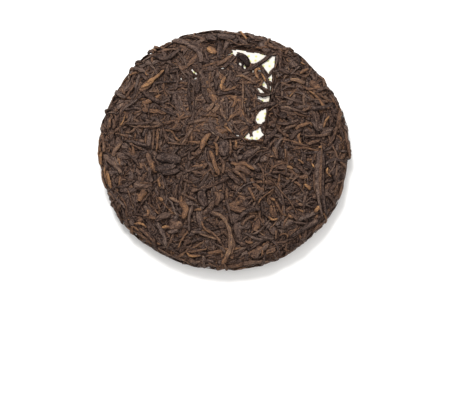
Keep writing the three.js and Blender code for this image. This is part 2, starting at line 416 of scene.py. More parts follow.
def flattened(way: np.ndarray, up: np.ndarray) -> np.ndarray:
    """Makes directions square to normals, and one unit long."""
    flat = way - up * np.sum(way * up, -1, keepdims=True)
    return flat / np.linalg.norm(flat, axis=-1, keepdims=True)


@dataclass
class Skin:
    """The level that the leaf is pressed to, in millimetres: a section turned about Z, a little unround."""

    radius: float
    top: float
    leaf_relief: float = 1.5
    back_relief: float = 1.1
    dome_drop: float = 7.0
    dome_fullness: float = 0.55
    shoulder_inset: float = 12.0
    shoulder_sag: float = 1.0
    rim_height: float = 8.5
    heel_inset: float = 13.0
    dimple_radius: float = 30.0
    dimple_floor: float = 7.0
    dimple_depth: float = 9.0
    dimple_bends: Point = (0.6, 0.7)
    lobes: tuple[tuple[int, float, float], ...] = (
        (1, 0.7, 65), (2, 0.3, 137), (3, 0.4, 100), (4, 0.4, 23), (6, 0.2, 0), (7, 0.2, 17), (9, 0.2, 13),
    )
    curve_steps: int = 60
    step: float = 0.5
    margin: float = 6.0

    def __post_init__(self) -> None:
        """Samples the section evenly and makes the table that finds the nearest sample to a point."""
        line = self._section()
        lengths = np.concatenate([[0], np.cumsum(np.hypot(*np.diff(line, axis=0).T))])
        self.length = lengths[-1]
        self.s = np.linspace(0, self.length, int(self.length / self.step) + 1)
        self.r = np.interp(self.s, lengths, line[:, 0])
        self.z = np.interp(self.s, lengths, line[:, 1])
        ahead = np.stack([np.gradient(self.r), np.gradient(self.z)])
        self.tangent = ahead / np.hypot(*ahead)
        self.outward = np.stack([self.tangent[1], -self.tangent[0]])
        self.rim_s = self.s[self.r.argmax()]
        columns = np.arange(0, self.radius + self.margin, self.step)
        rows = np.arange(-self.margin, self.top + self.margin, self.step)
        grid = np.stack(np.meshgrid(columns, rows, indexing="ij"), -1).reshape(-1, 1, 2)
        apart = np.hypot(*(grid - np.stack([self.r, self.z], -1)).transpose(2, 0, 1))
        self.nearest = apart.argmin(1).reshape(len(columns), len(rows))

    def _section(self) -> np.ndarray:
        """Draws half the cake's section as curves that join.

        Returns:
            Points from the middle of the dimple round the rim to the middle of the face.
        """
        radius, top, low = self.radius - self.leaf_relief, self.top - self.leaf_relief, self.back_relief
        rim, heel = (radius, self.rim_height), (radius - self.heel_inset, low)
        shoulder, height = radius - self.shoulder_inset, top - self.dome_drop
        hollow, floor, depth = self.dimple_radius, self.dimple_floor, self.dimple_depth
        upper_bend, lower_bend = (hollow * bend for bend in self.dimple_bends)
        curves = [
            [(0, depth), (floor, depth)],
            [(floor, depth), (upper_bend, depth), (lower_bend, low), (hollow, low)],
            [(hollow, low), heel],
            [heel, (radius, low), rim],
            [rim, (radius, height - self.shoulder_sag), (shoulder, height)],
            [(shoulder, height), (shoulder * self.dome_fullness, top), (0, top)],
        ]
        return np.concatenate([bezier(c, self.curve_steps)[(i > 0) :] for i, c in enumerate(curves)])

    def outline(self, angle: np.ndarray) -> np.ndarray:
        """How much further out than a circle the outline lies in a direction, as a factor."""
        rise = sum(h * np.cos(n * (angle - math.radians(first))) for n, h, first in self.lobes)
        return 1 + rise / self.radius

    def _polar(self, points: np.ndarray) -> tuple[np.ndarray, np.ndarray]:
        """How far from Z points lie, with the outline's lobes taken out, and their angles about Z."""
        angle = np.arctan2(points[..., 1], points[..., 0])
        return np.hypot(points[..., 0], points[..., 1]) / self.outline(angle), angle

    def locate(self, points: np.ndarray) -> tuple[np.ndarray, np.ndarray]:
        """Finds the places on the skin that are nearest to points.

        Args:
            points: An array of points, with X, Y and Z last.

        Returns:
            How far along the section each place is, and its angle about Z.
        """
        radius, angle = self._polar(points)
        height = points[..., 2]
        columns, rows = self.nearest.shape
        column = np.clip(radius / self.step + 0.5, 0, columns - 1).astype(int)
        row = np.clip((height + self.margin) / self.step + 0.5, 0, rows - 1).astype(int)
        at = self.nearest[column, row]
        along = (radius - self.r[at]) * self.tangent[0][at] + (height - self.z[at]) * self.tangent[1][at]
        return np.clip(self.s[at] + along, 0, self.length), angle

    def place(self, s: np.ndarray, angle: np.ndarray) -> tuple[np.ndarray, np.ndarray]:
        """Gives the skin's points and outward normals.

        Args:
            s: How far along the section.
            angle: The angle about Z.

        Returns:
            The points and the normals.
        """
        radius = np.interp(s, self.s, self.r) * self.outline(angle)
        out, up = np.interp(s, self.s, self.outward[0]), np.interp(s, self.s, self.outward[1])
        size = np.hypot(out, up)
        cos, sin = np.cos(angle), np.sin(angle)
        point = np.stack([radius * cos, radius * sin, np.interp(s, self.s, self.z)], -1)
        return point, np.stack([out * cos / size, out * sin / size, up / size], -1)

    def on_face(self, points: np.ndarray) -> tuple[np.ndarray, np.ndarray]:
        """Gives the face's points and normals over points of the plane.

        Args:
            points: An array of points, with X and Y last.

        Returns:
            The points and the normals.
        """
        radius, angle = self._polar(points)
        upper = self.s >= self.rim_s
        return self.place(np.interp(-radius, -self.r[upper], self.s[upper]), angle)


@dataclass
class Cells:
    """The skin cut into cells of nearly one size, in rings."""

    skin: Skin
    size: float

    def __post_init__(self) -> None:
        """Counts the rings and the cells of each."""
        rings = np.arange(0, self.skin.length + self.size, self.size)
        radii = np.interp(rings + self.size / 2, self.skin.s, self.skin.r)
        self.counts = np.maximum(1, np.round(TURN * radii / self.size)).astype(int)
        self.starts = np.concatenate([[0], np.cumsum(self.counts)[:-1]])
        self.total = int(self.counts.sum())

    def index(self, points: np.ndarray) -> np.ndarray:
        """Finds the cells that points lie over.

        Args:
            points: An array of points, with X, Y and Z last.

        Returns:
            The number of each point's cell.
        """
        s, angle = self.skin.locate(points)
        ring = (s / self.size).astype(int)
        across = (angle % TURN) / TURN * self.counts[ring]
        return self.starts[ring] + np.minimum(across.astype(int), self.counts[ring] - 1)

    def is_face(self) -> np.ndarray:
        """Whether each cell lies above the rim."""
        return np.repeat(np.arange(len(self.counts)) * self.size, self.counts) > self.skin.rim_s

    def middles(self) -> np.ndarray:
        """Gives the middle of every cell.

        Returns:
            An array of points, in the order of the cells' numbers.
        """
        ring = np.repeat(np.arange(len(self.counts)), self.counts)
        number = np.arange(self.total) - self.starts[ring]
        s = np.minimum((ring + 0.5) * self.size, self.skin.length)
        return self.skin.place(s, (number + 0.5) / self.counts[ring] * TURN)[0]


class Region(Enum):
    """A part of the skin, by the lowest and the highest lift of its normal."""

    BACK = (-1.1, -0.75)
    RIM = (-0.75, 0.75)
    FACE = (0.75, 1.1)


@dataclass(frozen=True)
class Kind:
    """A kind of leaf. Sizes are in millimetres, from the least to the greatest, and angles in degrees."""

    name: str
    length: Point
    width: Point
    thickness: Point
    tones: tuple[tuple[Tone, float], ...]
    counts: dict[Region, int]
    layer: Point
    sides: int = 6
    stations: int = 11
    bend: float = 50.0
    wave: float = 14.0
    twist: float = 200.0
    crease: float = 0.28
    bluntness: Point = (2.6, 5.5)


GOLD, AMBER, BROWN, PALE = Tone.GOLD, Tone.AMBER, Tone.BROWN, Tone.PALE
BLACK, DEEP, DARK, GREY = Tone.BLACK, Tone.DEEP, Tone.DARK, Tone.GREY
DARK_MIX = ((DARK, 0.36), (GREY, 0.3), (BROWN, 0.31), (AMBER, 0.03))
BROWN_MIX = ((DARK, 0.22), (GREY, 0.25), (BROWN, 0.43), (PALE, 0.06), (AMBER, 0.04))
GOLD_MIX = ((AMBER, 0.7), (GOLD, 0.3))
CRUMB_MIX = (
    (DARK, 0.3), (GREY, 0.2), (BROWN, 0.34), (PALE, 0.07), (AMBER, 0.07), (GOLD, 0.02),
)

KINDS = (
    Kind(
        "broad_leaf", (9, 22), (3.2, 7.0), (0.5, 0.8), DARK_MIX,
        {Region.FACE: 850, Region.RIM: 60, Region.BACK: 520}, (0.0, 0.98),
        sides=8, stations=9, crease=0.15, twist=40,
    ),
    Kind(
        "rolled_leaf", (12, 38), (2.3, 4.4), (1.1, 1.7), DARK_MIX,
        {Region.FACE: 650, Region.RIM: 150, Region.BACK: 380}, (0.2, 1.05),
        sides=7, bend=40,
    ),
    Kind(
        "twisted_leaf", (10, 36), (1.5, 2.9), (0.9, 1.5), DARK_MIX,
        {Region.FACE: 1500, Region.RIM: 560, Region.BACK: 900}, (0.2, 1.05),
    ),
    Kind(
        "thread_leaf", (8, 32), (0.9, 1.5), (0.7, 1.1), BROWN_MIX,
        {Region.FACE: 400, Region.RIM: 260, Region.BACK: 300}, (0.4, 1.0),
        sides=5, stations=9, bend=80, wave=22,
    ),
    Kind(
        "golden_bud", (4, 11), (1.2, 2.4), (0.7, 1.1), GOLD_MIX,
        {Region.FACE: 50, Region.RIM: 20, Region.BACK: 45}, (0.55, 0.95),
        stations=9, twist=90, bluntness=(1.8, 3.0),
    ),
    Kind(
        "crumb", (1.5, 5), (0.8, 1.7), (0.6, 1.0), CRUMB_MIX,
        {Region.FACE: 1300, Region.RIM: 450, Region.BACK: 500}, (0.3, 0.9),
        sides=5, stations=6, bend=30,
    ),
    Kind(
        "shred", (1.2, 4.5), (0.6, 1.2), (0.5, 0.8), CRUMB_MIX,
        {Region.FACE: 1500, Region.RIM: 500, Region.BACK: 500}, (0.3, 0.88),
        sides=4, stations=5, bend=30,
    ),
)
COVER = Kind("cover_leaf", (4, 12), (1.6, 3.0), (0.5, 0.8), DARK_MIX, {}, (0.0, 0.9), sides=5, stations=7)
EDGE = Kind("edge_leaf", (0, 0), (1.3, 2.4), (0.7, 1.0), DARK_MIX, {}, (1.05, 1.15), stations=7, twist=100)
LEAD = Kind(
    "lead_leaf", (0, 0), (0, 0), (0, 0), DARK_MIX, {}, (1, 1),
    sides=8, stations=15, twist=100, bluntness=(2.4, 4.0),
)
PRONG = Kind("prong_leaf", (0, 0), (0, 0), (0, 0), DARK_MIX, {}, (1, 1), twist=60, bluntness=(2.5, 4.0))


@dataclass
class Strands:
    """Strands of one kind in one region: arrays with one row for each strand."""

    rows: ClassVar[tuple[str, ...]] = (
        "base", "normal", "along", "length", "width", "thickness", "tone", "cool", "order",
    )
    kind: Kind
    region: Region
    base: np.ndarray
    normal: np.ndarray
    along: np.ndarray
    length: np.ndarray
    width: np.ndarray
    thickness: np.ndarray
    tone: np.ndarray
    cool: np.ndarray
    order: np.ndarray
    across: np.ndarray = field(default_factory=lambda: np.empty(0))
    cells: np.ndarray = field(default_factory=lambda: np.empty(0))
    height: np.ndarray = field(default_factory=lambda: np.empty(0))
    proud: Union[float, np.ndarray] = 0.0

    @property
    def name(self) -> str:
        """The piece's name."""
        return f"{self.region.name.lower()}_{self.kind.name}"

    @property
    def side(self) -> np.ndarray:
        """The direction across each strand at each station."""
        return np.cross(self.normal, self.along)

    def keep(self, rows: np.ndarray) -> None:
        """Keeps only these strands."""
        for name in (*self.rows, "cells"):
            setattr(self, name, getattr(self, name)[rows])

    @classmethod
    def join(cls, parts: Sequence["Strands"]) -> "Strands":
        """Puts strands of one kind and region together."""
        arrays = [np.concatenate([getattr(part, name) for part in parts]) for name in cls.rows]
        return cls(parts[0].kind, parts[0].region, *arrays)


def taper(share: np.ndarray, bluntness: Union[float, np.ndarray]) -> np.ndarray:
    """How full a strand is along its length, from nothing at its tips to 1 in its middle."""
    return np.sqrt(np.maximum(0, 1 - np.abs(2 * share - 1) ** bluntness))


def inside(points: np.ndarray, polygon: np.ndarray) -> np.ndarray:
    """Finds the points of the plane that lie inside a polygon.

    Args:
        points: An array of points, with X and Y last.
        polygon: The polygon's corners in order.

    Returns:
        Whether each point does.
    """
    crossed = np.zeros(points.shape[:-1], bool)
    for (x0, y0), (x1, y1) in zip(polygon, np.roll(polygon, -1, axis=0)):
        if y0 == y1:
            continue
        spans = (points[..., 1] > min(y0, y1)) & (points[..., 1] <= max(y0, y1))
        crossed ^= spans & (points[..., 0] < x0 + (points[..., 1] - y0) * (x1 - x0) / (y1 - y0))
    return crossed


# Where the ticket is bare, in millimetres on the face.
BARE_PATCHES: tuple[tuple[Point, ...], ...] = (
    (
        (2.7, 74.9), (3.7, 76.6), (6.2, 78.4), (7.0, 79.6), (6, 80.8), (11.4, 80.9), (19.4, 79.3),
        (28.7, 78.0), (34.6, 76.3), (32, 73.8), (28, 70.5), (24.5, 68.9), (21.7, 68.8), (20.5, 70.6),
        (19.2, 74.7), (17, 76.5), (14.2, 77.7), (11.9, 78.9), (10, 75.1), (6.8, 76.4), (4.4, 74.8),
    ),
    (
        (30, 68), (35.2, 72.2), (37.5, 74.3), (38.5, 75.7), (41.8, 76.3), (40.8, 68.5), (40.3, 66), (37, 63),
        (36.2, 60.3), (35.5, 60.4), (32.7, 64),
    ),
    ((35.2, 56.9), (36.7, 58.2), (38.6, 60.2), (38.6, 57), (38, 52.4), (36.2, 54.6)),
    ((31.4, 54.2), (32.6, 53.8), (34, 51), (35, 46.8), (32.7, 48.2), (30.2, 49.6)),
    ((26.2, 47.4), (28, 48), (30.4, 45.8), (32.2, 44), (29, 43.3)),
    ((36.2, 50.2), (37.2, 49.8), (38.2, 47.4), (38, 44.6), (36.8, 45)),
    (
        (26.4, 41.3), (31, 39.7), (34.2, 40.8), (37.7, 41.7), (37.5, 39), (36.2, 36.8), (34.2, 36), (31, 36),
        (27, 38.2),
    ),
    (
        (25, 20.6), (26, 24.7), (27.5, 27), (29.3, 29), (31.6, 29.6), (33.4, 31), (33.4, 27.5), (32, 19.3),
        (30.4, 18.5), (29.8, 17), (26.8, 17.4),
    ),
    (
        (16.3, 6), (19.6, 10.3), (21.7, 7), (23.2, 11.4), (27.3, 13.6), (29, 15), (30, 10.7), (32, 8.8),
        (27.3, 4.2), (22.4, 4.2), (19.4, 4.6),
    ),
)

# Chinks in the leaf that show a speck of the ticket: X, Y, length and width in millimetres, and the tilt in
# degrees.
CHINKS: tuple[tuple[float, float, float, float, float], ...] = (
    (-7.2, 81, 2, 1.8, 0), (-0.5, 64.6, 3, 1.6, 5), (-24.3, 62.4, 3.6, 1.4, -58), (-22.2, 60.4, 3, 1.3, -40),
    (-21.6, 56.4, 3.6, 1.3, 28), (-33.2, 55.8, 2, 1.6, -30), (-33, 51, 1.6, 1.6, 0),
    (13.2, 68.2, 2.6, 2.4, 0), (16.5, 66.2, 4.4, 2, 95), (27.3, 66.2, 1.8, 1.8, 0), (28.3, 62.9, 3.4, 1.5, 5),
    (23.5, 62.3, 2, 1.6, 0), (35, 33.9, 2.2, 1.5, 0), (-38.5, 11.6, 1.9, 1.9, 0), (11, 7.6, 2.8, 1.5, -15),
)


def in_patch(flat: np.ndarray) -> np.ndarray:
    """Whether points of the plane lie in a bare patch of the ticket."""
    return np.any([inside(flat, np.array(patch, float)) for patch in BARE_PATCHES], axis=0)


def in_chink(flat: np.ndarray) -> np.ndarray:
    """Finds the points of the plane that lie in a chink.

    Args:
        flat: An array of points, with X and Y last.

    Returns:
        Whether each point does.
    """
    found = np.zeros(flat.shape[:-1], bool)
    for x, y, length, width, tilt in CHINKS:
        apart = turned(flat - (x, y), -tilt) / (length / 2, width / 2)
        found |= np.hypot(apart[..., 0], apart[..., 1]) < 1
    return found


# Strands at the rim that stand out from it: tone, width and, along each, the direction from the middle in
# degrees, the place up the skin from the widest line, and how proud it stands, in millimetres.
Prong = tuple[Tone, float, tuple[tuple[float, float, float], ...]]
PRONGS: tuple[Prong, ...] = (
    (DARK, 3.2, ((203, 3, 0.0), (209, 2, 0.1), (214, 1, 0.3), (218, 0, 1.3))),
    (BROWN, 3.2, ((9, 6, 0.0), (3, 5, 0.1), (-1.5, 3, 0.5), (-5, 1, 1.1))),
    (DARK, 3.4, ((5, 1, 0.0), (1, 0, 0.2), (-2, -1, 0.5), (-4.6, -2, 0.9))),
    (BROWN, 3.4, ((121.5, 6, 0.2), (122.5, 2, 1.2), (123.5, -3, 0.8))),
    (DARK, 3.2, ((125, 6, 0.2), (126, 2, 1.1), (127, -3, 0.6))),
    (PALE, 2.2, ((123.5, 7, 0.2), (124.5, 3, 1.0), (125, -1, 0.8))),
    (DARK, 2.6, ((132, 6, 0.0), (133.5, 2, 0.6), (134.5, -3, 0.3))),
    (BROWN, 2.6, ((137, 5, 0.0), (138, 1, 0.5), (139, -3, 0.3))),
    (DARK, 2.6, ((160, 6, 0.1), (161, 1, 0.8), (161.5, -3, 0.5))),
    (AMBER, 2.0, ((176, 3, 0.0), (182, 2, 0.1), (188, 2, 0.0))),
    (PALE, 2.0, ((190, 4, 0.1), (195, 3, 0.3), (200, 3, 0.1))),
    (DARK, 2.6, ((206, 6, 0.0), (207, 1, 0.5), (208, -3, 0.3))),
    (BROWN, 2.4, ((222, 6, 0.0), (223, 1, 0.4), (224, -3, 0.2))),
)

# Strands that stand out on the face: tone, width and the points that each runs through, in millimetres.
Lead = tuple[Tone, float, tuple[Point, ...]]
LEADS: tuple[Lead, ...] = (
    (DEEP, 6.0, ((-15, 91.4), (-10, 91.2), (-5, 89.6))),
    (DEEP, 6.4, ((-6, 93.2), (2, 91.4), (10, 92))),
    (DEEP, 4.5, ((-3, 88), (-3.4, 80), (-3.2, 71))),
    (DARK, 2.4, ((-15.5, 80), (-13, 74), (-11, 69.5))),
    (DEEP, 2.4, ((-27, 60), (-27.8, 46), (-26, 26))),
    (DEEP, 4.0, ((-21, 58), (-20, 50), (-21.4, 42))),
    (DEEP, 3.2, ((-17.4, 48), (-14.4, 40), (-9, 33.4))),
    (BROWN, 2.2, ((-10.4, 62), (-11.4, 52), (-8, 43))),
    (DEEP, 3.6, ((-7, 57), (-6, 50), (-7, 44.4))),
    (DARK, 3.0, ((4, 55), (8.4, 52), (12, 46.4))),
    (DEEP, 3.0, ((-6, 41.4), (2, 43), (8, 44.4), (14, 41.4))),
    (AMBER, 2.0, ((4.4, 40), (9, 37.4), (8.4, 33), (5, 30.4))),
    (DEEP, 3.0, ((17, 45), (20, 38), (18, 30))),
    (DARK, 4.0, ((-18, 83.5), (-18.6, 73), (-18.5, 63))),
    (DARK, 4.0, ((0, 64), (5, 70), (10, 75))),
    (BROWN, 3.0, ((-6, 66), (1, 71), (8, 77))),
    (BROWN, 1.5, ((2, 87.5), (5, 89), (9, 86), (14, 84.7), (24, 85.5))),
    (PALE, 2.4, ((8.7, 57), (14.8, 57.4), (18.9, 55.4), (23, 52.6), (26.4, 50))),
    (PALE, 1.5, ((15, 54), (15.4, 42), (14.6, 28))),
    (BROWN, 2.2, ((27, 26), (24.6, 31), (24.4, 37), (25.4, 43))),
    (DEEP, 1.8, ((28.6, 48.8), (32.4, 46.2), (36, 43.6), (39, 42))),
    (DEEP, 2.6, ((23, 44), (30, 41.2), (34.2, 41.6), (39, 43.4))),
    (DEEP, 2.8, ((18.5, 26.6), (27.5, 30.8), (32.7, 32.8), (42, 34.4))),
    # Near-black strands stand in for a dark hollow between the strands here, as painted shade.
    (BLACK, 3.6, ((10, 76.6), (12.8, 74.6), (14.8, 71.2))),
    (BLACK, 2.2, ((11.6, 77), (11, 72), (11.2, 64.5))),
    (BLACK, 1.8, ((14.6, 75), (15, 70), (14.7, 64))),
    (BLACK, 4.2, ((11.6, 76.2), (14.6, 74.8), (17.2, 72.2), (18.4, 69.5), (19.4, 65.5))),
    (DEEP, 2.2, ((4, 65), (9.7, 62.8), (16.3, 61.8), (22.4, 64), (27, 67.5), (32.7, 72), (41, 79.5))),
    (GOLD, 1.9, ((28, 54), (25.8, 59), (25.2, 62.6), (27.5, 64.2), (30.4, 63.6), (32.5, 61))),
    (GOLD, 1.8, ((29.6, 60.4), (31.6, 57), (34, 51.4))),
    (DEEP, 2.3, ((28.5, 67.5), (30.4, 63), (32.6, 58.4), (34.2, 54.6), (35.2, 50), (36.2, 45.6), (36.6, 43))),
    (GOLD, 2.4, ((1.8, 57), (-0.4, 53), (-1.6, 49), (-1.4, 44.4))),
    (AMBER, 1.8, ((-2, 44.4), (3, 45.2), (8, 46.8), (13, 50.4))),
    (GOLD, 2.5, ((11, 101), (15, 95), (19, 89))),
    (GOLD, 5.0, ((-13.4, 82.6), (-9.6, 80), (-5.4, 77.4))),
    (DEEP, 5.0, ((-56, 76), (-46, 73), (-40, 77), (-34, 82))),
    (GREY, 4.5, ((-42, 89), (-36, 88.5), (-29, 86), (-23, 84))),
    (GREY, 4.5, ((-30, 84), (-24, 82), (-19, 76), (-18, 68))),
    (DARK, 3.5, ((-44, 69), (-44.6, 63), (-44, 58))),
    (DARK, 3.5, ((-65, 46), (-58, 40), (-50, 35))),
    (DARK, 3.0, ((-66, 61), (-63, 58), (-60, 55))),
    (AMBER, 5.4, ((-67, 46), (-62.5, 49), (-58, 52.5))),
    (GOLD, 5.0, ((-66, 48.4), (-61, 51.4), (-55, 55.4))),
    (GOLD, 3.2, ((-61.5, 52), (-53.5, 57.5), (-46.6, 64))),
    (GOLD, 1.8, ((-75, 60), (-72, 61.6), (-68.5, 62))),
    (GOLD, 1.8, ((-57.5, 85.5), (-57, 82), (-56, 78.5))),
    (AMBER, 1.4, ((-59, 64), (-61.5, 63), (-61.5, 60), (-59, 59.4))),
    (PALE, 1.0, ((-59.5, 45), (-56, 45), (-53, 44.5))),
    (DARK, 4.0, ((43, 64), (48, 62), (53, 60.6))),
    (PALE, 4.0, ((52, 55), (58, 54.5), (65, 52))),
    (BROWN, 3.0, ((46, 80.5), (52, 83), (58, 84))),
    (DARK, 3.0, ((72, 44), (80, 49), (88, 46))),
    (AMBER, 2.5, ((60, 60), (64, 63), (68, 65))),
    (GOLD, 2.5, ((79, 61), (81.5, 57.5), (83, 54))),
    (GOLD, 1.6, ((61.5, 71), (63, 69), (65, 68))),
    (GOLD, 1.6, ((52, 40), (53.5, 42), (55, 44))),
    (GOLD, 1.6, ((67, 46), (69.5, 44.5), (72, 42.5))),
    (AMBER, 1.1, ((53.5, 73), (51.8, 74), (50.4, 72.6), (51.6, 71), (53.4, 71.4))),
    (DARK, 3.0, ((-79, 19), (-70, 18.5), (-60, 19), (-54, 22))),
    (BROWN, 1.6, ((-79, 13.5), (-76, 11), (-72, 12.5), (-68, 16), (-60, 15.5), (-47.5, 16))),
    (GREY, 1.5, ((-92.5, 29), (-89, 29), (-84, 27))),
    (BROWN, 2.6, ((-87.5, 24), (-86.6, 19), (-87, 14.5))),
    (AMBER, 2.4, ((-90, 25), (-90.4, 20), (-90, 16))),
    (GOLD, 2.0, ((-78, 27), (-80, 20), (-82, 17.5))),
    (PALE, 3.8, ((-80, 4), (-83.6, 0.5), (-86, -3), (-87.6, -8))),
    (PALE, 1.3, ((-83, -6), (-83.5, -9), (-83, -12.5))),
    (BROWN, 1.2, ((-75, 3), (-69, -0.5), (-62, -4))),
    (BROWN, 1.5, ((-86, 11.5), (-80, 9.6), (-75, 7))),
    (DARK, 2.5, ((-79, -5), (-72, -9), (-66, -17))),
    (AMBER, 2.4, ((-52.4, 14), (-52, 5), (-53, -6))),
    (BROWN, 2.6, ((-55, 13), (-55.4, 5), (-56, -4))),
    (AMBER, 2.0, ((-61, 10), (-61.5, 6), (-61, 1))),
    (GREY, 3.6, ((-58.5, 12), (-58.4, 6), (-59, -1))),
    (DARK, 2.0, ((-49, 14), (-49.4, 9), (-49, 5))),
    (BROWN, 4.6, ((-60, -5), (-58, -12), (-54, -22))),
    (AMBER, 3.0, ((-56.5, -13), (-55, -18), (-52, -22))),
    (DEEP, 9.0, ((-55, -19), (-46, -18), (-37, -14.6))),
    (DEEP, 8.0, ((-54, -10), (-44, -10.5), (-33, -13))),
    (DEEP, 5.0, ((-49, -23), (-41, -22.5), (-34, -20))),
    (AMBER, 1.8, ((-47, 12.5), (-41, 11), (-38, 6), (-34, 2.5))),
    (BROWN, 1.8, ((-44.5, 2), (-36, 0.6), (-27, 0))),
    (GOLD, 2.5, ((-52, -27), (-51, -30), (-50, -34))),
    (GOLD, 3.2, ((-91.6, -18.5), (-90.6, -26), (-88.4, -34))),
    (AMBER, 2.4, ((-94, -15), (-93, -22), (-91, -30))),
    (GOLD, 3.0, ((-96.4, -2), (-96.8, -8), (-96, -15))),
    (AMBER, 2.6, ((-97.4, 9), (-97.6, 3), (-97.2, -3))),
    (BROWN, 3.4, ((-95, 6), (-94.6, 1), (-94.4, -4))),
    (DEEP, 9.0, ((0.5, 4), (0.8, -3), (0.3, -10))),
    (AMBER, 4.6, ((-9, 9.5), (-13.5, 7), (-16.5, 2), (-18, -5))),
    (BROWN, 2.4, ((-17, -4), (-21, -7.5), (-26, -6.5))),
    (BROWN, 2.5, ((-3, 8.5), (-5, 5), (-7, 1))),
    (AMBER, 2.8, ((-9, 1.4), (-6.6, 0.4), (-5.4, -3), (-5.6, -10))),
    (AMBER, 4.0, ((-12, -4), (-9, -9), (-7, -17), (-3, -26))),
    (BROWN, 2.5, ((-3.5, -10), (0, -16), (-1, -24))),
    (AMBER, 3.2, ((4.5, -14), (10, -16), (16, -15.5), (20, -18), (25, -21))),
    (BROWN, 4.0, ((8, -19), (14, -19.6), (21, -24))),
    (BROWN, 2.6, ((6, -19), (10, -23), (15, -27), (17.5, -32))),
    (DARK, 3.6, ((3, -23), (8, -27), (13, -33))),
    (GOLD, 2.4, ((0.5, 14.5), (3.5, 12.4), (6.5, 9))),
    (GOLD, 2.2, ((9.5, 4), (9.8, 0.5), (9.5, -3))),
    (DARK, 1.0, ((-2.5, 1.5), (1, 5), (8, 6), (14, 6.5))),
    (BROWN, 1.8, ((5, 4), (5.4, -2), (5, -9))),
    (BROWN, 2.8, ((-18, 24), (-10, 24.5), (-4, 23))),
    (AMBER, 1.3, ((-7, 22), (-5, 20.6), (-5.4, 17.6), (-3, 16.6))),
    (PALE, 3.2, ((-14, 27.4), (-10.8, 31), (-7.4, 34.6))),
    (PALE, 3.2, ((-9, 26), (-6, 29.6), (-3, 33))),
    (GREY, 1.3, ((2.7, 36), (3, 28), (2.7, 20))),
    (DARK, 2.0, ((-24, 50), (-23.4, 33), (-24, 16))),
    (BROWN, 1.0, ((23, -10), (27, -6), (36, -4))),
    (BROWN, 1.5, ((25.5, -15), (30, -20), (31.5, -32))),
    (BROWN, 2.0, ((72.8, -12), (71.2, -24), (71.4, -38))),
    (DEEP, 5.0, ((78.6, -3), (77.8, -16), (77, -30), (78, -44), (80, -56))),
    (GREY, 4.6, ((76, -2), (74.2, -15), (73.4, -30), (74.4, -45), (77.2, -59))),
    (BROWN, 2.4, ((77, -1), (76.2, -14), (75.4, -28), (76, -42))),
    (DEEP, 5.0, ((43.5, 24), (47, 24.4), (50, 23.4))),
    (DARK, 2.5, ((41, 18.5), (50, 17.5), (60, 21))),
    (BROWN, 2.2, ((41, 15), (46, 10), (52, 7))),
    (DARK, 3.5, ((52, 4), (57, 10), (63, 14))),
    (BROWN, 2.5, ((66, 1), (71, 3.6), (76, 5))),
    (AMBER, 2.5, ((56, 12.5), (59, 15.6), (62, 17), (68, 18.5), (70, 16))),
    (GOLD, 2.5, ((83.5, 26), (80, 20), (78.5, 15))),
    (AMBER, 1.2, ((39, 25.6), (37.2, 26), (36.2, 24.3), (37.8, 23))),
    (GOLD, 2.0, ((49, -18), (51.5, -18.4), (54, -19.5))),
    (PALE, 1.5, ((50.6, -27), (52.5, -27), (54.6, -27.3))),
    (GOLD, 1.8, ((58, -11.5), (60.5, -13), (63, -15))),
    (GOLD, 1.8, ((69, -14), (70, -16), (71.5, -18))),
    (GOLD, 2.2, ((82, -17), (81, -21), (84.5, -24.5))),
    (GOLD, 4.0, ((63, -31), (65.5, -33), (68, -35.5))),
    (GOLD, 1.5, ((73.6, -1.5), (75.5, -1), (77.6, -0.2))),
    (BROWN, 3.0, ((38.5, -2), (40.6, -6.5), (42, -12))),
    (AMBER, 1.8, ((48, -3), (48.4, -7), (48, -11))),
    (AMBER, 2.2, ((55, -29.5), (57.5, -31), (60, -33.5))),
    (GOLD, 2.0, ((-70.5, -62), (-64, -62.5), (-60, -66))),
    (BROWN, 2.2, ((-67, -65), (-60, -71), (-54, -77))),
    (PALE, 2.4, ((-43, -42.5), (-39, -44.4), (-35, -47))),
    (AMBER, 4.3, ((-33, -40), (-33.6, -46), (-30, -52), (-33, -60))),
    (DARK, 4.0, ((-54, -61), (-48, -57), (-41, -56))),
    (GOLD, 2.0, ((-49, -66), (-45.5, -65.4), (-42, -66))),
    (GOLD, 2.6, ((-50.5, -42), (-49, -43.5), (-47.6, -45))),
    (AMBER, 2.6, ((-59.5, -51), (-59.2, -54), (-59.8, -57))),
    (DEEP, 6.0, ((-17, -37), (-17.2, -43), (-14, -50.5))),
    (DARK, 3.0, ((-13, -51), (-8, -56), (0, -58))),
    (BROWN, 3.4, ((-8, -38), (-4.5, -42), (-6, -50))),
    (DEEP, 4.2, ((11, -62), (15, -56), (22, -52.5), (29.5, -52))),
    (BROWN, 3.2, ((13, -65), (18, -60), (25, -57))),
    (PALE, 3.6, ((-10.6, -54), (-4, -56.5), (0.5, -60.2), (3.8, -68))),
    (BROWN, 3.6, ((4, -68), (6.8, -76), (7.2, -82), (4.6, -88))),
    (PALE, 4.6, ((0.8, -60), (4.4, -70), (5.2, -80), (2.6, -88), (-0.9, -94))),
    (AMBER, 3.0, ((2.6, -88), (0.6, -91.5), (-1.6, -94.5))),
    (BROWN, 2.2, ((-0.5, -93), (1.5, -96.5), (3, -99))),
    (AMBER, 1.3, ((26, -49), (30, -43), (40, -35.5))),
    (AMBER, 2.8, ((19, -34), (22, -40), (25, -46))),
    (GOLD, 1.8, ((-24, -53), (-20.5, -52.2), (-17, -52.5))),
    (AMBER, 1.8, ((-17.5, -61), (-15, -67), (-10, -71))),
    (PALE, 2.4, ((-20, -71), (-12, -73.5), (-5, -76))),
    (GOLD, 1.8, ((-30, -84), (-26, -88), (-18, -88))),
    (AMBER, 2.2, ((16.6, -77), (19.5, -78.3), (23, -78.2))),
    (AMBER, 1.5, ((29.5, -83.4), (29.8, -86), (29, -89))),
    (DARK, 2.0, ((20, -84), (25, -80.4), (30, -77))),
    (GREY, 3.0, ((-24, -48), (-27, -58), (-27, -70))),
    (DEEP, 5.0, ((51, -74), (62, -67), (75, -59))),
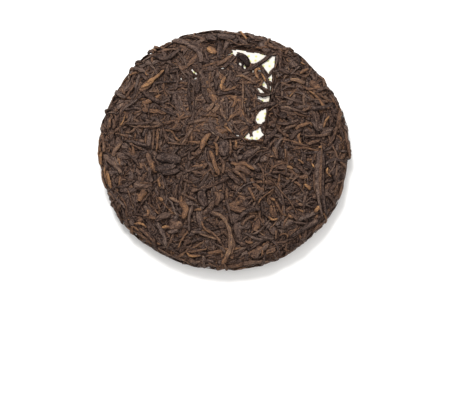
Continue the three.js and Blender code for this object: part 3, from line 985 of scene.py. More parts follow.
    (BROWN, 1.5, ((35, -26), (40, -31), (46, -39), (52, -46), (58, -57))),
    (GOLD, 2.4, ((36.6, -43.4), (38.5, -44), (40.4, -44.8))),
    (GOLD, 3.0, ((70.6, -53.6), (72.6, -51), (74.8, -48.6))),
    (GOLD, 1.8, ((58, -51), (60, -52.4), (62.5, -53))),
    (GOLD, 1.8, ((34.5, -57.5), (38, -60), (42.5, -59))),
    (PALE, 2.4, ((58, -47), (60, -47.5), (62, -48.4))),
    (AMBER, 2.4, ((50, -57), (52, -57.5), (54, -58.6))),
    (AMBER, 1.6, ((42.5, -73), (46, -71), (49.5, -72), (49, -75))),
    (BROWN, 2.0, ((40.5, -68), (40.8, -72), (40.5, -76))),
    (AMBER, 1.8, ((46.4, -82.4), (48.5, -83), (51, -83.2))),
    (AMBER, 2.0, ((71, -68), (74, -65.5), (77, -62))),
)


@dataclass
class Bed:
    """The bed of leaf: lays every strand on what already lies there, then presses them all level.

    Sizes are in millimetres, levels are measured out from the skin, and swings of a heading are in radians.
    """

    skin: Skin
    ticket: "Ticket"
    top_level: float = 1.2
    core_level: float = -1.9
    ticket_level: float = -1.3
    ticket_gap: float = 0.1
    cell_size: float = 0.9
    fine: int = 3
    footprint: float = 0.9
    area_samples: int = 400
    angle_jitter: float = 0.05
    kind_turn: int = 7
    flow_size: float = 26.0
    flow_turn: float = 1.9
    flow_waves: tuple[tuple[float, float, float], ...] = ((1.0, 0.6, 1.0), (-0.7, 1.3, 4.0), (1.7, 1.1, 2.0))
    flow_swing: float = 0.45
    stray_share: float = 0.4
    stray_swing: float = 2.5
    edge_width: float = 14.0
    edge_blur: float = 5.0
    rim_swing: float = 0.3
    rim_stray_share: float = 0.3
    rim_stray_swing: float = 1.0
    across_share: float = 0.3
    across_swing: float = 0.4
    length_shape: Point = (1.6, 2.6)
    tone_spread: float = 0.03
    chink_clearance: float = 0.75
    cover_rounds: int = 6
    cover_batch: int = 260
    cover_width: float = 0.7
    cover_ends: int = 5
    knot_steps: int = 12
    placed_order: float = 1.2
    lead_flatness: float = 0.55
    lead_thickness: float = 0.9
    lead_section: float = 6.5
    lead_proud: float = 0.6
    prong_flatness: float = 0.95
    seam_reach: Point = (0.6, 1.4)
    seam_bow: Point = (0.0, 0.04)
    seam_shift: float = 0.42
    seam_width: float = 0.5
    squash: float = 0.45
    give: float = 0.5
    fullness: float = 3.0
    smoothing: float = 2.4
    press: float = 0.6
    press_cell: float = 6.0
    press_reach: float = 5.0
    press_batch: int = 4000
    high_share: float = 1.0
    proud: float = 0.5
    ticket_rise: float = 0.7
    rim_looseness: float = 0.6

    def __post_init__(self) -> None:
        """Marks the cells over the ticket and those where it is bare."""
        self.rng = np.random.default_rng(SEED)
        self.cells = Cells(self.skin, self.cell_size)
        self.pile = np.zeros(self.cells.total)
        flat, is_face = self.cells.middles()[:, :2], self.cells.is_face()
        self.bare = in_patch(flat) & is_face
        self.chinks = in_chink(flat) & is_face
        self.over_ticket = inside(flat, self.ticket.corners()) & is_face
        self.batches: list[Strands] = []

    def _scatter(
        self, kind: Kind, region: Region, count: int
    ) -> tuple[np.ndarray, np.ndarray, np.ndarray]:
        """Spreads starting points evenly over a region by the sunflower rule.

        Args:
            kind: The kind of leaf.
            region: Where it goes.
            count: How many.

        Returns:
            The distance along the section, the angle about Z and the heading of each.
        """
        low, high = region.value
        within = self.skin.s[(self.skin.outward[1] >= low) & (self.skin.outward[1] < high)]
        s = np.linspace(within[0], within[-1], self.area_samples)
        area = np.cumsum(np.interp(s, self.skin.s, self.skin.r))
        share = (np.arange(count) + self.rng.random(count)) / count
        at = np.interp(share * area[-1], area, s)
        jitter = self.rng.normal(0, self.angle_jitter, count)
        angle = np.arange(count) * GOLDEN_ANGLE + jitter + self.kind_turn * kind.sides
        return at, angle, self._heading(region, at, angle)

    def _heading(self, region: Region, at: np.ndarray, angle: np.ndarray) -> np.ndarray:
        """Turns each strand with the flow of the leaf round it, or along or across the rim.

        Args:
            region: Where the strands go.
            at: How far along the section each start lies.
            angle: Its angle about Z.

        Returns:
            Each heading, from the way round the cake.
        """
        count, radius = len(at), np.interp(at, self.skin.s, self.skin.r)
        flow = self._flow(self.skin.place(at, angle)[0]) - angle
        swing = self.rng.normal(0, 1, count)
        is_stray = self.rng.random(count) < self.stray_share
        loose = flow + swing * np.where(is_stray, self.stray_swing, self.flow_swing)
        is_stray = self.rng.random(count) < self.rim_stray_share
        swing = np.where(is_stray, self.rim_stray_swing, self.rim_swing) * self.rng.normal(size=count)
        along_rim = swing + math.pi * self.rng.integers(0, 2, count)
        at_edge = radius + self.rng.normal(0, self.edge_blur, count) > self.skin.radius - self.edge_width
        heading = np.where(at_edge | (region is Region.RIM), along_rim, loose)
        across = (region is Region.RIM) & (self.rng.random(count) < self.across_share)
        return np.where(across, math.pi / 2 + self.rng.normal(0, self.across_swing, count), heading)

    def _flow(self, points: np.ndarray) -> np.ndarray:
        """The way that the leaf mostly lies round a point, which turns slowly from place to place."""
        x, y = points[:, 0] / self.flow_size, points[:, 1] / self.flow_size
        return self.flow_turn * sum(np.sin(a * x + b * y + c) for a, b, c in self.flow_waves)

    def _walk(
        self, at: np.ndarray, angle: np.ndarray, heading: np.ndarray, length: np.ndarray, kind: Kind
    ) -> Lines:
        """Walks over the skin both ways from each start, bending and waving on the way.

        Args:
            at: How far along the section each start lies.
            angle: Its angle about Z.
            heading: The strand's heading there, from the way round the cake.
            length: How long each strand is.
            kind: The kind of leaf.

        Returns:
            The points, the normals and the directions at every station.
        """
        count, gaps = len(at), kind.stations - 1
        bend = np.radians(self.rng.normal(0, kind.bend / 2, count))
        wave = np.radians(self.rng.normal(0, kind.wave, count))
        phase = self.rng.uniform(0, TURN, count)

        def turn(share: float) -> np.ndarray:
            """How far the heading has turned at a share of the length from the middle."""
            return bend * share + wave * (np.sin(TURN * share + phase) - np.sin(phase))

        start, normal = self.skin.place(at, angle)
        round_way = np.stack([-np.sin(angle), np.cos(angle), 0 * angle], -1)
        ahead = swung(round_way, normal, heading)
        base = np.empty((count, kind.stations, 3))
        normals, along = np.empty_like(base), np.empty_like(base)
        offset = 0.5 if gaps % 2 else 0.0
        for way in (-1, 1):
            point, up, direction, gap = start, normal, ahead, way * length / gaps
            if offset:
                point, up, direction = self._step(point, up, direction, 0 * bend, gap * offset)
            for step in range(gaps // 2 + 1):
                share = way * (step + offset) / gaps
                slot = round(gaps / 2 + share * gaps)
                base[:, slot], normals[:, slot] = point, up
                along[:, slot] = swung(direction, up, turn(share))
                onward = turn(share + way * 0.5 / gaps)
                point, up, direction = self._step(point, up, direction, onward, gap)
        return base, normals, along

    def _step(
        self, point: np.ndarray, up: np.ndarray, ahead: np.ndarray, turn: np.ndarray, size: np.ndarray
    ) -> Lines:
        """Takes one step over the skin and carries the direction along with it.

        Args:
            point: Where each walk is.
            up: The normal there.
            ahead: The direction that it carries.
            turn: How far the step turns from that direction.
            size: How long the step is.

        Returns:
            The new points, normals and directions.
        """
        way = swung(ahead, up, turn)
        point, up = self.skin.place(*self.skin.locate(point + way * np.reshape(size, (-1, 1))))
        return point, up, flattened(ahead, up)

    def _find_cells(self, strands: Strands) -> None:
        """Finds the cells under each strand: at fine steps along it, and from one side to the other.

        Args:
            strands: The strands, which get their cells.
        """
        stations = strands.base.shape[1]
        share = np.linspace(0, stations - 1, self.fine * (stations - 1) + 1)
        low = np.minimum(share.astype(int), stations - 2)
        part = (share - low)[None, :, None]
        middle = strands.base[:, low] * (1 - part) + strands.base[:, low + 1] * part
        side = strands.side[:, low] * (1 - part) + strands.side[:, low + 1] * part
        count = 2 * int(np.ceil(strands.width.max() / 2 / self.cell_size)) + 3
        strands.across = np.linspace(-self.footprint, self.footprint, count)
        reach = (strands.width / 2)[:, None, None, None] * strands.across[None, None, :, None]
        strands.cells = self.cells.index(middle[:, :, None, :] + side[:, :, None, :] * reach)

    def _draw(self, kind: Kind, region: Region, lines: Lines, length: np.ndarray) -> Strands:
        """Draws the sizes, tones and layers of strands that lie along given lines.

        Args:
            kind: The kind of leaf.
            region: Where they lie.
            lines: The points, normals and directions of each line.
            length: How long each line is.

        Returns:
            The strands.
        """
        count = len(length)
        tones, shares = zip(*kind.tones)
        values = np.array([tone.value for tone in tones])
        place, least, most = values[self.rng.choice(len(tones), count, p=shares)].T
        tone, cool = place + self.rng.normal(0, self.tone_spread, count), self.rng.uniform(least, most)
        width, thickness = self.rng.uniform(*kind.width, count), self.rng.uniform(*kind.thickness, count)
        order = self.rng.uniform(*kind.layer, count)
        return Strands(kind, region, *lines, length, width, thickness, tone, cool, order)

    def _draw_clear(self, kind: Kind, region: Region, lines: Lines, length: np.ndarray) -> Strands:
        """Draws strands and keeps those that leave the bare patches open, and the chinks nearly so.

        Args:
            kind: The kind of leaf.
            region: Where they lie.
            lines: The points, normals and directions of each line.
            length: How long each line is.

        Returns:
            The strands that are kept.
        """
        strands = self._draw(kind, region, lines, length)
        self._find_cells(strands)
        middle = np.abs(strands.across) < self.chink_clearance
        on_patch = self.bare[strands.cells].any(axis=(1, 2))
        strands.keep(~on_patch & ~self.chinks[strands.cells[:, :, middle]].any(axis=(1, 2)))
        return strands

    def _lay(self, strands: Strands) -> None:
        """Adds strands to the bed."""
        self._find_cells(strands)
        self.batches.append(strands)

    def scatter(self, kind: Kind) -> None:
        """Draws a kind of leaf in every region, leaving out what would cover the bare ticket.

        Args:
            kind: The kind of leaf.
        """
        for region, count in kind.counts.items():
            at, angle, heading = self._scatter(kind, region, count)
            least, most = kind.length
            length = least + (most - least) * self.rng.beta(*self.length_shape, count)
            lines = self._walk(at, angle, heading, length, kind)
            self.batches.append(self._draw_clear(kind, region, lines, length))

    def cover_ticket(self) -> None:
        """Lays short leaf over what is still open of the ticket, all but its bare patches and chinks."""
        still_open = self.over_ticket & ~self.bare & ~self.chinks
        for strands in self.batches:
            still_open[self._well_covered(strands)] = False
        middles = self.cells.middles()
        laid = []
        for _ in range(self.cover_rounds):
            spots = middles[self.rng.permutation(np.flatnonzero(still_open))[: self.cover_batch]]
            at, angle = self.skin.locate(spots)
            heading = self.rng.uniform(0, TURN, len(spots))
            length = self.rng.uniform(*COVER.length, len(spots))
            lines = self._walk(at, angle, heading, length, COVER)
            laid.append(self._draw_clear(COVER, Region.FACE, lines, length))
            still_open[self._well_covered(laid[-1])] = False
        self._lay(Strands.join(laid))
        log.info("ticket cells still open: %d", still_open.sum())

    def _well_covered(self, strands: Strands) -> np.ndarray:
        """Finds the cells that lie under the full middles of strands.

        Args:
            strands: The strands.

        Returns:
            The cells' numbers.
        """
        fine = strands.cells.shape[1]
        end = fine // self.cover_ends
        return strands.cells[:, end : fine - end][:, :, np.abs(strands.across) < self.cover_width].ravel()

    @staticmethod
    def _directed(base: np.ndarray, normal: np.ndarray) -> tuple[Lines, np.ndarray]:
        """Gives lines of points on the skin their directions and lengths.

        Args:
            base: The points of each line.
            normal: The normals there.

        Returns:
            The points, normals and directions, and the lengths.
        """
        along = flattened(np.gradient(base, axis=1), normal)
        return (base, normal, along), np.linalg.norm(np.diff(base, axis=1), axis=-1).sum(1)

    def _through(self, lines: Sequence[np.ndarray], stations: int) -> tuple[Lines, np.ndarray]:
        """Lays smooth curves through points of the face.

        Args:
            lines: The points of each curve.
            stations: How many stations each gets.

        Returns:
            The points, normals and directions, and the lengths.
        """
        flat = np.stack([self._smooth_line(line, stations) for line in lines])
        return self._directed(*self.skin.on_face(flat))

    def _smooth_line(self, line: np.ndarray, stations: int) -> np.ndarray:
        """Spaces points evenly along a Catmull-Rom curve.

        Args:
            line: The points that the curve runs through.
            stations: How many points are wanted.

        Returns:
            The points.
        """
        padded = np.concatenate([2 * line[:1] - line[1:2], line, 2 * line[-1:] - line[-2:-1]])
        share = np.linspace(0, 1, self.knot_steps, endpoint=False)[:, None]
        parts = []
        for a, b, c, d in zip(padded, padded[1:], padded[2:], padded[3:]):
            bend = 2 * a - 5 * b + 4 * c - d + share * (3 * (b - c) + d - a)
            parts.append(b + 0.5 * share * (c - a + share * bend))
        dense = np.concatenate([*parts, line[-1:]])
        run = np.concatenate([[0], np.cumsum(np.hypot(*np.diff(dense, axis=0).T))])
        even = np.linspace(0, run[-1], stations)
        return np.stack([np.interp(even, run, dense[:, 0]), np.interp(even, run, dense[:, 1])], -1)

    def _dress_placed(self, strands: Strands, rows: Sequence[tuple[Tone, float, Any]]) -> None:
        """Gives placed strands the tones and widths of their table, and puts them last in order.

        Args:
            strands: The strands.
            rows: Their table.
        """
        strands.width = np.array([width for _, width, _ in rows])
        strands.tone, least, most = np.array([tone.value for tone, _, _ in rows]).T
        strands.cool = (least + most) / 2
        strands.order = self.placed_order + np.arange(len(rows)) / len(rows)

    def lay_leads(self) -> None:
        """Places the strands that stand out on the face."""
        routes = [np.array(points, float) for _, _, points in LEADS]
        strands = self._draw(LEAD, Region.FACE, *self._through(routes, LEAD.stations))
        self._dress_placed(strands, LEADS)
        thickest = self.lead_section / strands.width
        strands.thickness = np.clip(self.lead_flatness * strands.width, self.lead_thickness, thickest)
        strands.proud = self.lead_proud
        self._lay(strands)

    def lay_prongs(self) -> None:
        """Places the strands that stand out from the rim."""
        share = np.linspace(0, 1, PRONG.stations)
        knots = [np.array(points, float) for _, _, points in PRONGS]
        runs = np.stack([[np.interp(share * (len(k) - 1), range(len(k)), c) for c in k.T] for k in knots])
        place = self.skin.place(self.skin.rim_s + runs[:, 1], np.radians(runs[:, 0]))
        strands = self._draw(PRONG, Region.RIM, *self._directed(*place))
        self._dress_placed(strands, PRONGS)
        strands.thickness = self.prong_flatness * strands.width
        strands.proud = runs[:, 2]
        self._lay(strands)

    def lay_edges(self) -> None:
        """Runs strands along the edges of the bare patches, so that the leaf ends there."""
        lines, widths = [], []
        for patch in (np.array(points, float) for points in BARE_PATCHES):
            following = np.roll(patch, -1, axis=0)
            winding = np.sign(np.sum(patch[:, 0] * following[:, 1] - following[:, 0] * patch[:, 1]))
            for start, end in zip(patch, following):
                size = math.dist(start, end)
                ahead = (end - start) / size
                outward = np.array([ahead[1], -ahead[0]]) * winding
                widths.append(min(self.rng.uniform(*EDGE.width), self.seam_width * (size + 1)))
                reach = ahead * self.rng.uniform(*self.seam_reach)
                shift = outward * (widths[-1] * self.seam_shift)
                bow = outward * self.rng.uniform(*self.seam_bow) * size
                middle = (start + end) / 2 + shift + bow
                lines.append(np.array([start - reach + shift, middle, end + reach + shift]))
        strands = self._draw(EDGE, Region.FACE, *self._through(lines, EDGE.stations))
        strands.width = np.array(widths)
        self._lay(strands)

    def settle(self) -> None:
        """Lays the strands one by one, each on what already lies below it, then presses the bed level."""
        turns, forms = [], []
        for batch, strands in enumerate(self.batches):
            turns += [(order, batch, row) for row, order in enumerate(strands.order)]
            strands.height = np.zeros(strands.base.shape[:2])
            fine = strands.cells.shape[1]
            along = taper(np.linspace(0, 1, fine), self.fullness)
            spacing = strands.length.mean() / (fine - 1)
            reach = max(2, int(round(2 * self.smoothing / spacing)))
            window = np.hanning(2 * reach + 3)[1:-1]
            forms.append((along[:, None] * np.sqrt(1 - strands.across**2), window / window.sum(), reach))
        for _, batch, row in sorted(turns):
            strands, (full, window, reach) = self.batches[batch], forms[batch]
            half, cells = strands.thickness[row] / 2, strands.cells[row]
            under = self.pile[cells]
            needed = (under + full * (half * (1 - self.squash))).max(axis=1)
            rest = np.convolve(np.pad(needed, reach, mode="edge"), window, mode="valid")
            rest = np.maximum(rest, needed - self.give)
            rest = np.convolve(np.pad(rest, reach, mode="edge"), window, mode="valid")
            self.pile[cells] = np.maximum(under, rest[:, None] + full * half)
            strands.height[row] = rest[:: self.fine]
        self._press()

    def _press(self) -> None:
        """Brings the tops of the strands to one level and the rest closer below them, keeping their order."""
        coarse = Cells(self.skin, self.press_cell)
        counted = ~self.bare & ~self.chinks
        number, pile = coarse.index(self.cells.middles())[counted], self.pile[counted]
        weight = np.bincount(number, minlength=coarse.total)
        total = np.bincount(number, pile, minlength=coarse.total)
        spots = coarse.middles().astype(np.float32)
        raised = self.high_share * float(pile.std())
        for strands in self.batches:
            points = strands.base.reshape(-1, 3).astype(np.float32)
            level = np.empty(len(points))
            for start in range(0, len(points), self.press_batch):
                part = points[start : start + self.press_batch]
                apart = ((part[:, None, :] - spots[None]) ** 2).sum(-1)
                near = np.exp(-apart / (2 * self.press_reach**2))
                level[start : start + self.press_batch] = (near @ total) / (near @ weight)
            level = level.reshape(strands.height.shape) + raised
            half = (strands.thickness / 2)[:, None]
            top = self.top_level - self.press * (level - strands.height - half)
            over = np.maximum(0, top - self.top_level)
            top = np.minimum(top, self.top_level) + self.proud * (1 - np.exp(-over / self.proud))
            covers = self.over_ticket[strands.cells[:, :: self.fine, strands.cells.shape[2] // 2]]
            floor = np.where(covers, self.ticket_level + self.ticket_rise * half, self.core_level)
            loose = self.rim_looseness * (strands.region is Region.RIM)
            proud = loose * self.rng.random(len(half))[:, None] + strands.proud
            strands.height = np.maximum(top - half, floor) + proud


@dataclass
class Bundle:
    """The mesh of a batch of strands, joined from arrays. Sizes and levels are in millimetres."""

    strands: Strands
    rng: np.random.Generator
    lower: float = 0.7
    skew: Point = (0.75, 1.35)
    roughness: float = 0.16
    least_roughness: float = 0.25
    dent: float = 0.18
    girth_limits: Point = (0.55, 1.5)
    twist_spread: float = 0.6
    floor_gap: float = 0.02
    floor_spread: float = 0.3
    drift: float = 0.1
    tip_fade: float = 0.7
    # Painted shade: strands that lie low in the bed are painted darker, as if shaded by the strands over
    # them.
    painted_low_shade_level: float = 0.4
    painted_low_shade_depth: float = 2.0
    painted_low_shade_share: float = 0.12
    # Painted shade: the lower flanks of each strand are painted darker, where the strands beside it would
    # shade them.
    painted_flank_shade: float = 0.75
    painted_flank_shade_from: float = 0.6
    least_shade: float = 0.3
    run_share: float = 0.22
    grain_girth: float = 1.6
    grain_offset: float = 400.0

    def build(self, material: bpy.types.Material) -> bpy.types.Object:
        """Builds the piece.

        Args:
            material: The leaf's material.

        Returns:
            The piece.
        """
        strands, kind = self.strands, self.strands.kind
        count, sides = len(strands.base), kind.sides
        share = np.linspace(0, 1, kind.stations)
        full = self._fullness(share)
        corner = np.arange(sides) * TURN / sides
        crease = 1 + kind.crease * np.cos(2 * corner[None] + self.rng.uniform(0, TURN, (count, 1)))
        crease = crease * (1 + self.dent * self.rng.normal(size=(count, sides)))
        spin = self.rng.normal(0, self.twist_spread, count)
        twist = np.radians(kind.twist) * spin[:, None] * (share - 0.5)[None]
        angle = corner[None, None] + twist[:, :, None] + self.rng.uniform(0, TURN, count)[:, None, None]
        girth = full[:, :, None] * np.clip(crease, *self.girth_limits)[:, None, :]
        across = np.cos(angle) * girth * (strands.width / 2)[:, None, None]
        lift = np.sin(angle) * girth * (strands.thickness / 2)[:, None, None]
        lift = np.where(lift < 0, lift * self.lower, lift)
        centre = strands.base + strands.normal * strands.height[:, :, None]
        rings = centre[:, :, None] + strands.side[:, :, None] * across[..., None]
        rings = rings + strands.normal[:, :, None] * lift[..., None]
        vertices = self._closed(rings, centre[:, [0, -1]])
        least = self.floor_gap + self.floor_spread * self.rng.random(count)[:, None]
        vertices[..., 2] = np.maximum(vertices[..., 2], least)
        return self._mesh(vertices, self._finish_with_painted_shade(share, angle), self._grain(share, angle), material)

    @staticmethod
    def _closed(rings: np.ndarray, tips: np.ndarray) -> np.ndarray:
        """Puts the two tips of each strand after its inner rings, in place of its outer ones."""
        return np.concatenate([rings[:, 1:-1].reshape(len(rings), -1, 3), tips], axis=1)

    def _fullness(self, share: np.ndarray) -> np.ndarray:
        """Draws how full each strand is at each station, unevenly.

        Args:
            share: How far along the strand each station is.

        Returns:
            An array with a row for each strand.
        """
        strands, count = self.strands, len(self.strands.base)
        blunt = self.rng.uniform(*strands.kind.bluntness, count)
        skew = self.rng.uniform(*self.skew, count)
        full = taper(share[None] ** skew[:, None], blunt[:, None])
        slimness = 2 * strands.length / (len(share) - 1) / strands.width
        rough = self.roughness * np.clip(slimness, self.least_roughness, 1)
        return full * (1 + rough[:, None] * self.rng.normal(size=full.shape))

    def _finish_with_painted_shade(self, share: np.ndarray, angle: np.ndarray) -> np.ndarray:
        """Works out the finish of every vertex: a strand drifts in tone, and gets painted shade low in the
        bed and on its lower flanks.

        Args:
            share: How far along the strand each station is.
            angle: The angle of each corner about its strand.

        Returns:
            The tone with its painted shade, the coolness and the edge.
        """
        strands = self.strands
        drift = self.rng.normal(0, self.drift, len(strands.base))[:, None] * (share - 0.5)[None]
        golden = np.maximum(0, strands.tone - BROWN.lightness)
        fade = self.tip_fade * golden[:, None] * (2 * share - 1) ** 4
        # Painted shade: the tone is darkened where a strand lies low in the bed.
        depth = self.painted_low_shade_level - strands.height - (strands.thickness / 2)[:, None]
        low = np.clip(depth / self.painted_low_shade_depth, 0, 1)
        tone = strands.tone[:, None] + drift - fade - self.painted_low_shade_share * low
        edge = np.abs(np.cos(angle)) ** 3
        # Painted shade on each strand's lower flanks, weaker where the strand lies on the steep rim.
        level = np.clip(np.abs(strands.normal[:, :, 2]), self.least_shade, 1)
        painted_shade = self.painted_flank_shade * level[:, :, None] * np.clip(self.painted_flank_shade_from - np.sin(angle), 0, 1)
        spread = np.stack([tone[:, :, None] - painted_shade, 0 * edge + strands.cool[:, None, None], edge], -1)
        return self._closed(spread, spread[:, [0, -1], 0])

    def _grain(self, share: np.ndarray, angle: np.ndarray) -> np.ndarray:
        """Works out coordinates that run along and round each strand, offset from strand to strand.

        Args:
            share: How far along the strand each station is.
            angle: The angle of each corner about its strand.

        Returns:
            Three coordinates for each vertex.
        """
        strands, sides = self.strands, self.strands.kind.sides
        offset = self.rng.uniform(0, self.grain_offset, (len(strands.base), 1, 1, 3))
        run = (share[None] * strands.length[:, None] * self.run_share)[:, :, None] + 0 * angle
        corner = np.arange(sides) * TURN / sides + 0 * angle
        girth = np.minimum(strands.width / 2, self.grain_girth)[:, None, None]
        grain = np.stack([run, np.cos(corner) * girth, np.sin(corner) * girth], -1) + offset
        return self._closed(grain, grain[:, [0, -1]].mean(axis=2))

    def _faces(self, count: int) -> tuple[np.ndarray, np.ndarray]:
        """Lists the faces of strands: rings of four-sided ones, and three-sided ones at the tips.

        Args:
            count: How many strands there are.

        Returns:
            The corners of every face, and the number of corners of each.
        """
        sides, rings = self.strands.kind.sides, self.strands.kind.stations - 2
        here, following = np.arange(sides), (np.arange(sides) + 1) % sides
        low = (np.arange(rings - 1) * sides)[:, None]
        walls = np.stack([low + here, low + following, low + following + sides, low + here + sides], -1)
        last_ring, tips = (rings - 1) * sides, rings * sides
        start = np.stack([0 * here + tips, following, here], -1)
        end = np.stack([0 * here + tips + 1, last_ring + here, last_ring + following], -1)
        corners = np.concatenate([walls.ravel(), start.ravel(), end.ravel()])
        sizes = np.repeat([4, 3], [(rings - 1) * sides, 2 * sides])
        shift = np.arange(count)[:, None] * (tips + 2)
        return (corners[None] + shift).ravel(), np.tile(sizes, count)

    def _mesh(
        self, vertices: np.ndarray, finish: np.ndarray, grain: np.ndarray, material: bpy.types.Material
    ) -> bpy.types.Object:
        """Makes the object from arrays with a row for each strand.

        Args:
            vertices: The place of every vertex.
            finish: Its tone with painted shade, coolness and edge.
            grain: Its grain.
            material: The leaf's material.

        Returns:
            The object.
        """
        corners, sizes = self._faces(len(vertices))
        flat = vertices.reshape(-1, 3) * MM
        mesh = bpy.data.meshes.new(self.strands.name)
        mesh.vertices.add(len(flat))
        mesh.vertices.foreach_set("co", flat.astype(np.float32).ravel())
        mesh.loops.add(len(corners))
        mesh.loops.foreach_set("vertex_index", corners.astype(np.int32))
        mesh.polygons.add(len(sizes))
        starts = np.concatenate([[0], np.cumsum(sizes)[:-1]])
        mesh.polygons.foreach_set("loop_start", starts.astype(np.int32))
        mesh.polygons.foreach_set("loop_total", sizes.astype(np.int32))
        mesh.polygons.foreach_set("use_smooth", np.ones(len(sizes), bool))
        mesh.update(calc_edges=True)
        # The attribute "finish" carries each vertex's tone with its painted shade.
        for name, values in (("finish", finish), ("grain", grain)):
            attribute = mesh.attributes.new(name, "FLOAT_VECTOR", "POINT")
            attribute.data.foreach_set("vector", values.astype(np.float32).ravel())
        mesh.materials.append(material)
        piece = bpy.data.objects.new(self.strands.name, mesh)
        bpy.context.scene.collection.objects.link(piece)
        return piece


def select_only(piece: bpy.types.Object) -> None:
    """Makes one object the only selected one and the active one.

    Args:
        piece: The object.
    """
    bpy.ops.object.select_all(action="DESELECT")
    piece.select_set(True)
    bpy.context.view_layer.objects.active = piece


def apply_modifier(piece: bpy.types.Object, kind: str, **settings: Any) -> None:
    """Adds a modifier to a piece, sets it and applies it.

    Args:
        piece: The piece.
        kind: The modifier's type.
        **settings: What is set on the modifier.
    """
    select_only(piece)
    modifier = piece.modifiers.new(kind.lower(), kind)
    for name, setting in settings.items():
        setattr(modifier, name, setting)
    bpy.ops.object.modifier_apply(modifier=modifier.name)


def roughen(piece: bpy.types.Object, height: float, size: float, depth: int) -> None:
    """Pushes a piece's surface in and out by procedural clouds.

    Args:
        piece: The piece.
        height: How far, in millimetres.
        size: How wide the clouds are, in millimetres.
        depth: How many finer layers of them there are.
    """
    texture = bpy.data.textures.new(piece.name, "CLOUDS")
    texture.noise_scale = size * MM
    texture.noise_depth = depth
    apply_modifier(piece, "DISPLACE", texture=texture, texture_coords="LOCAL", strength=height * MM)


@dataclass
class Core:
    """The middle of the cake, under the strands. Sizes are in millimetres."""

    skin: Skin
    level: float
    turns: int = 144
    points: int = 60
    weld: float = 0.02
    lump_height: float = 0.5
    lump_size: float = 4.0
    lump_depth: int = 3

    def build(self) -> bpy.types.Object:
        """Extrudes the section from one vertex, spins it round and roughens it.

        Returns:
            The piece.
        """
        inset = np.stack([self.skin.r, self.skin.z], -1) + self.skin.outward.T * self.level
        picked = inset[np.linspace(0, len(inset) - 1, self.points).astype(int)]
        picked[[0, -1], 0] = 0
        bpy.ops.object.select_all(action="DESELECT")
        bpy.ops.mesh.primitive_plane_add(size=MM)
        piece = bpy.context.active_object
        piece.name = piece.data.name = "packed_core"
        bpy.ops.object.mode_set(mode="EDIT")
        bpy.ops.mesh.merge(type="CENTER")
        bpy.ops.transform.translate(value=(picked[0, 0] * MM, 0, picked[0, 1] * MM))
        for step in np.diff(picked, axis=0) * MM:
            bpy.ops.mesh.extrude_vertices_move(TRANSFORM_OT_translate={"value": (step[0], 0, step[1])})
        bpy.ops.mesh.select_all(action="SELECT")
        bpy.ops.mesh.spin(steps=self.turns, angle=TURN, center=(0, 0, 0), axis=(0, 0, 1))
        bpy.ops.mesh.select_all(action="SELECT")
        bpy.ops.mesh.remove_doubles(threshold=self.weld * MM)
        bpy.ops.mesh.normals_make_consistent(inside=False)
        bpy.ops.object.mode_set(mode="OBJECT")
        apply_modifier(piece, "SUBSURF", levels=1, render_levels=1)
        roughen(piece, self.lump_height, self.lump_size, self.lump_depth)
        bpy.ops.object.shade_smooth()
        piece.data.materials.append(CoreFinish().material())
        return piece


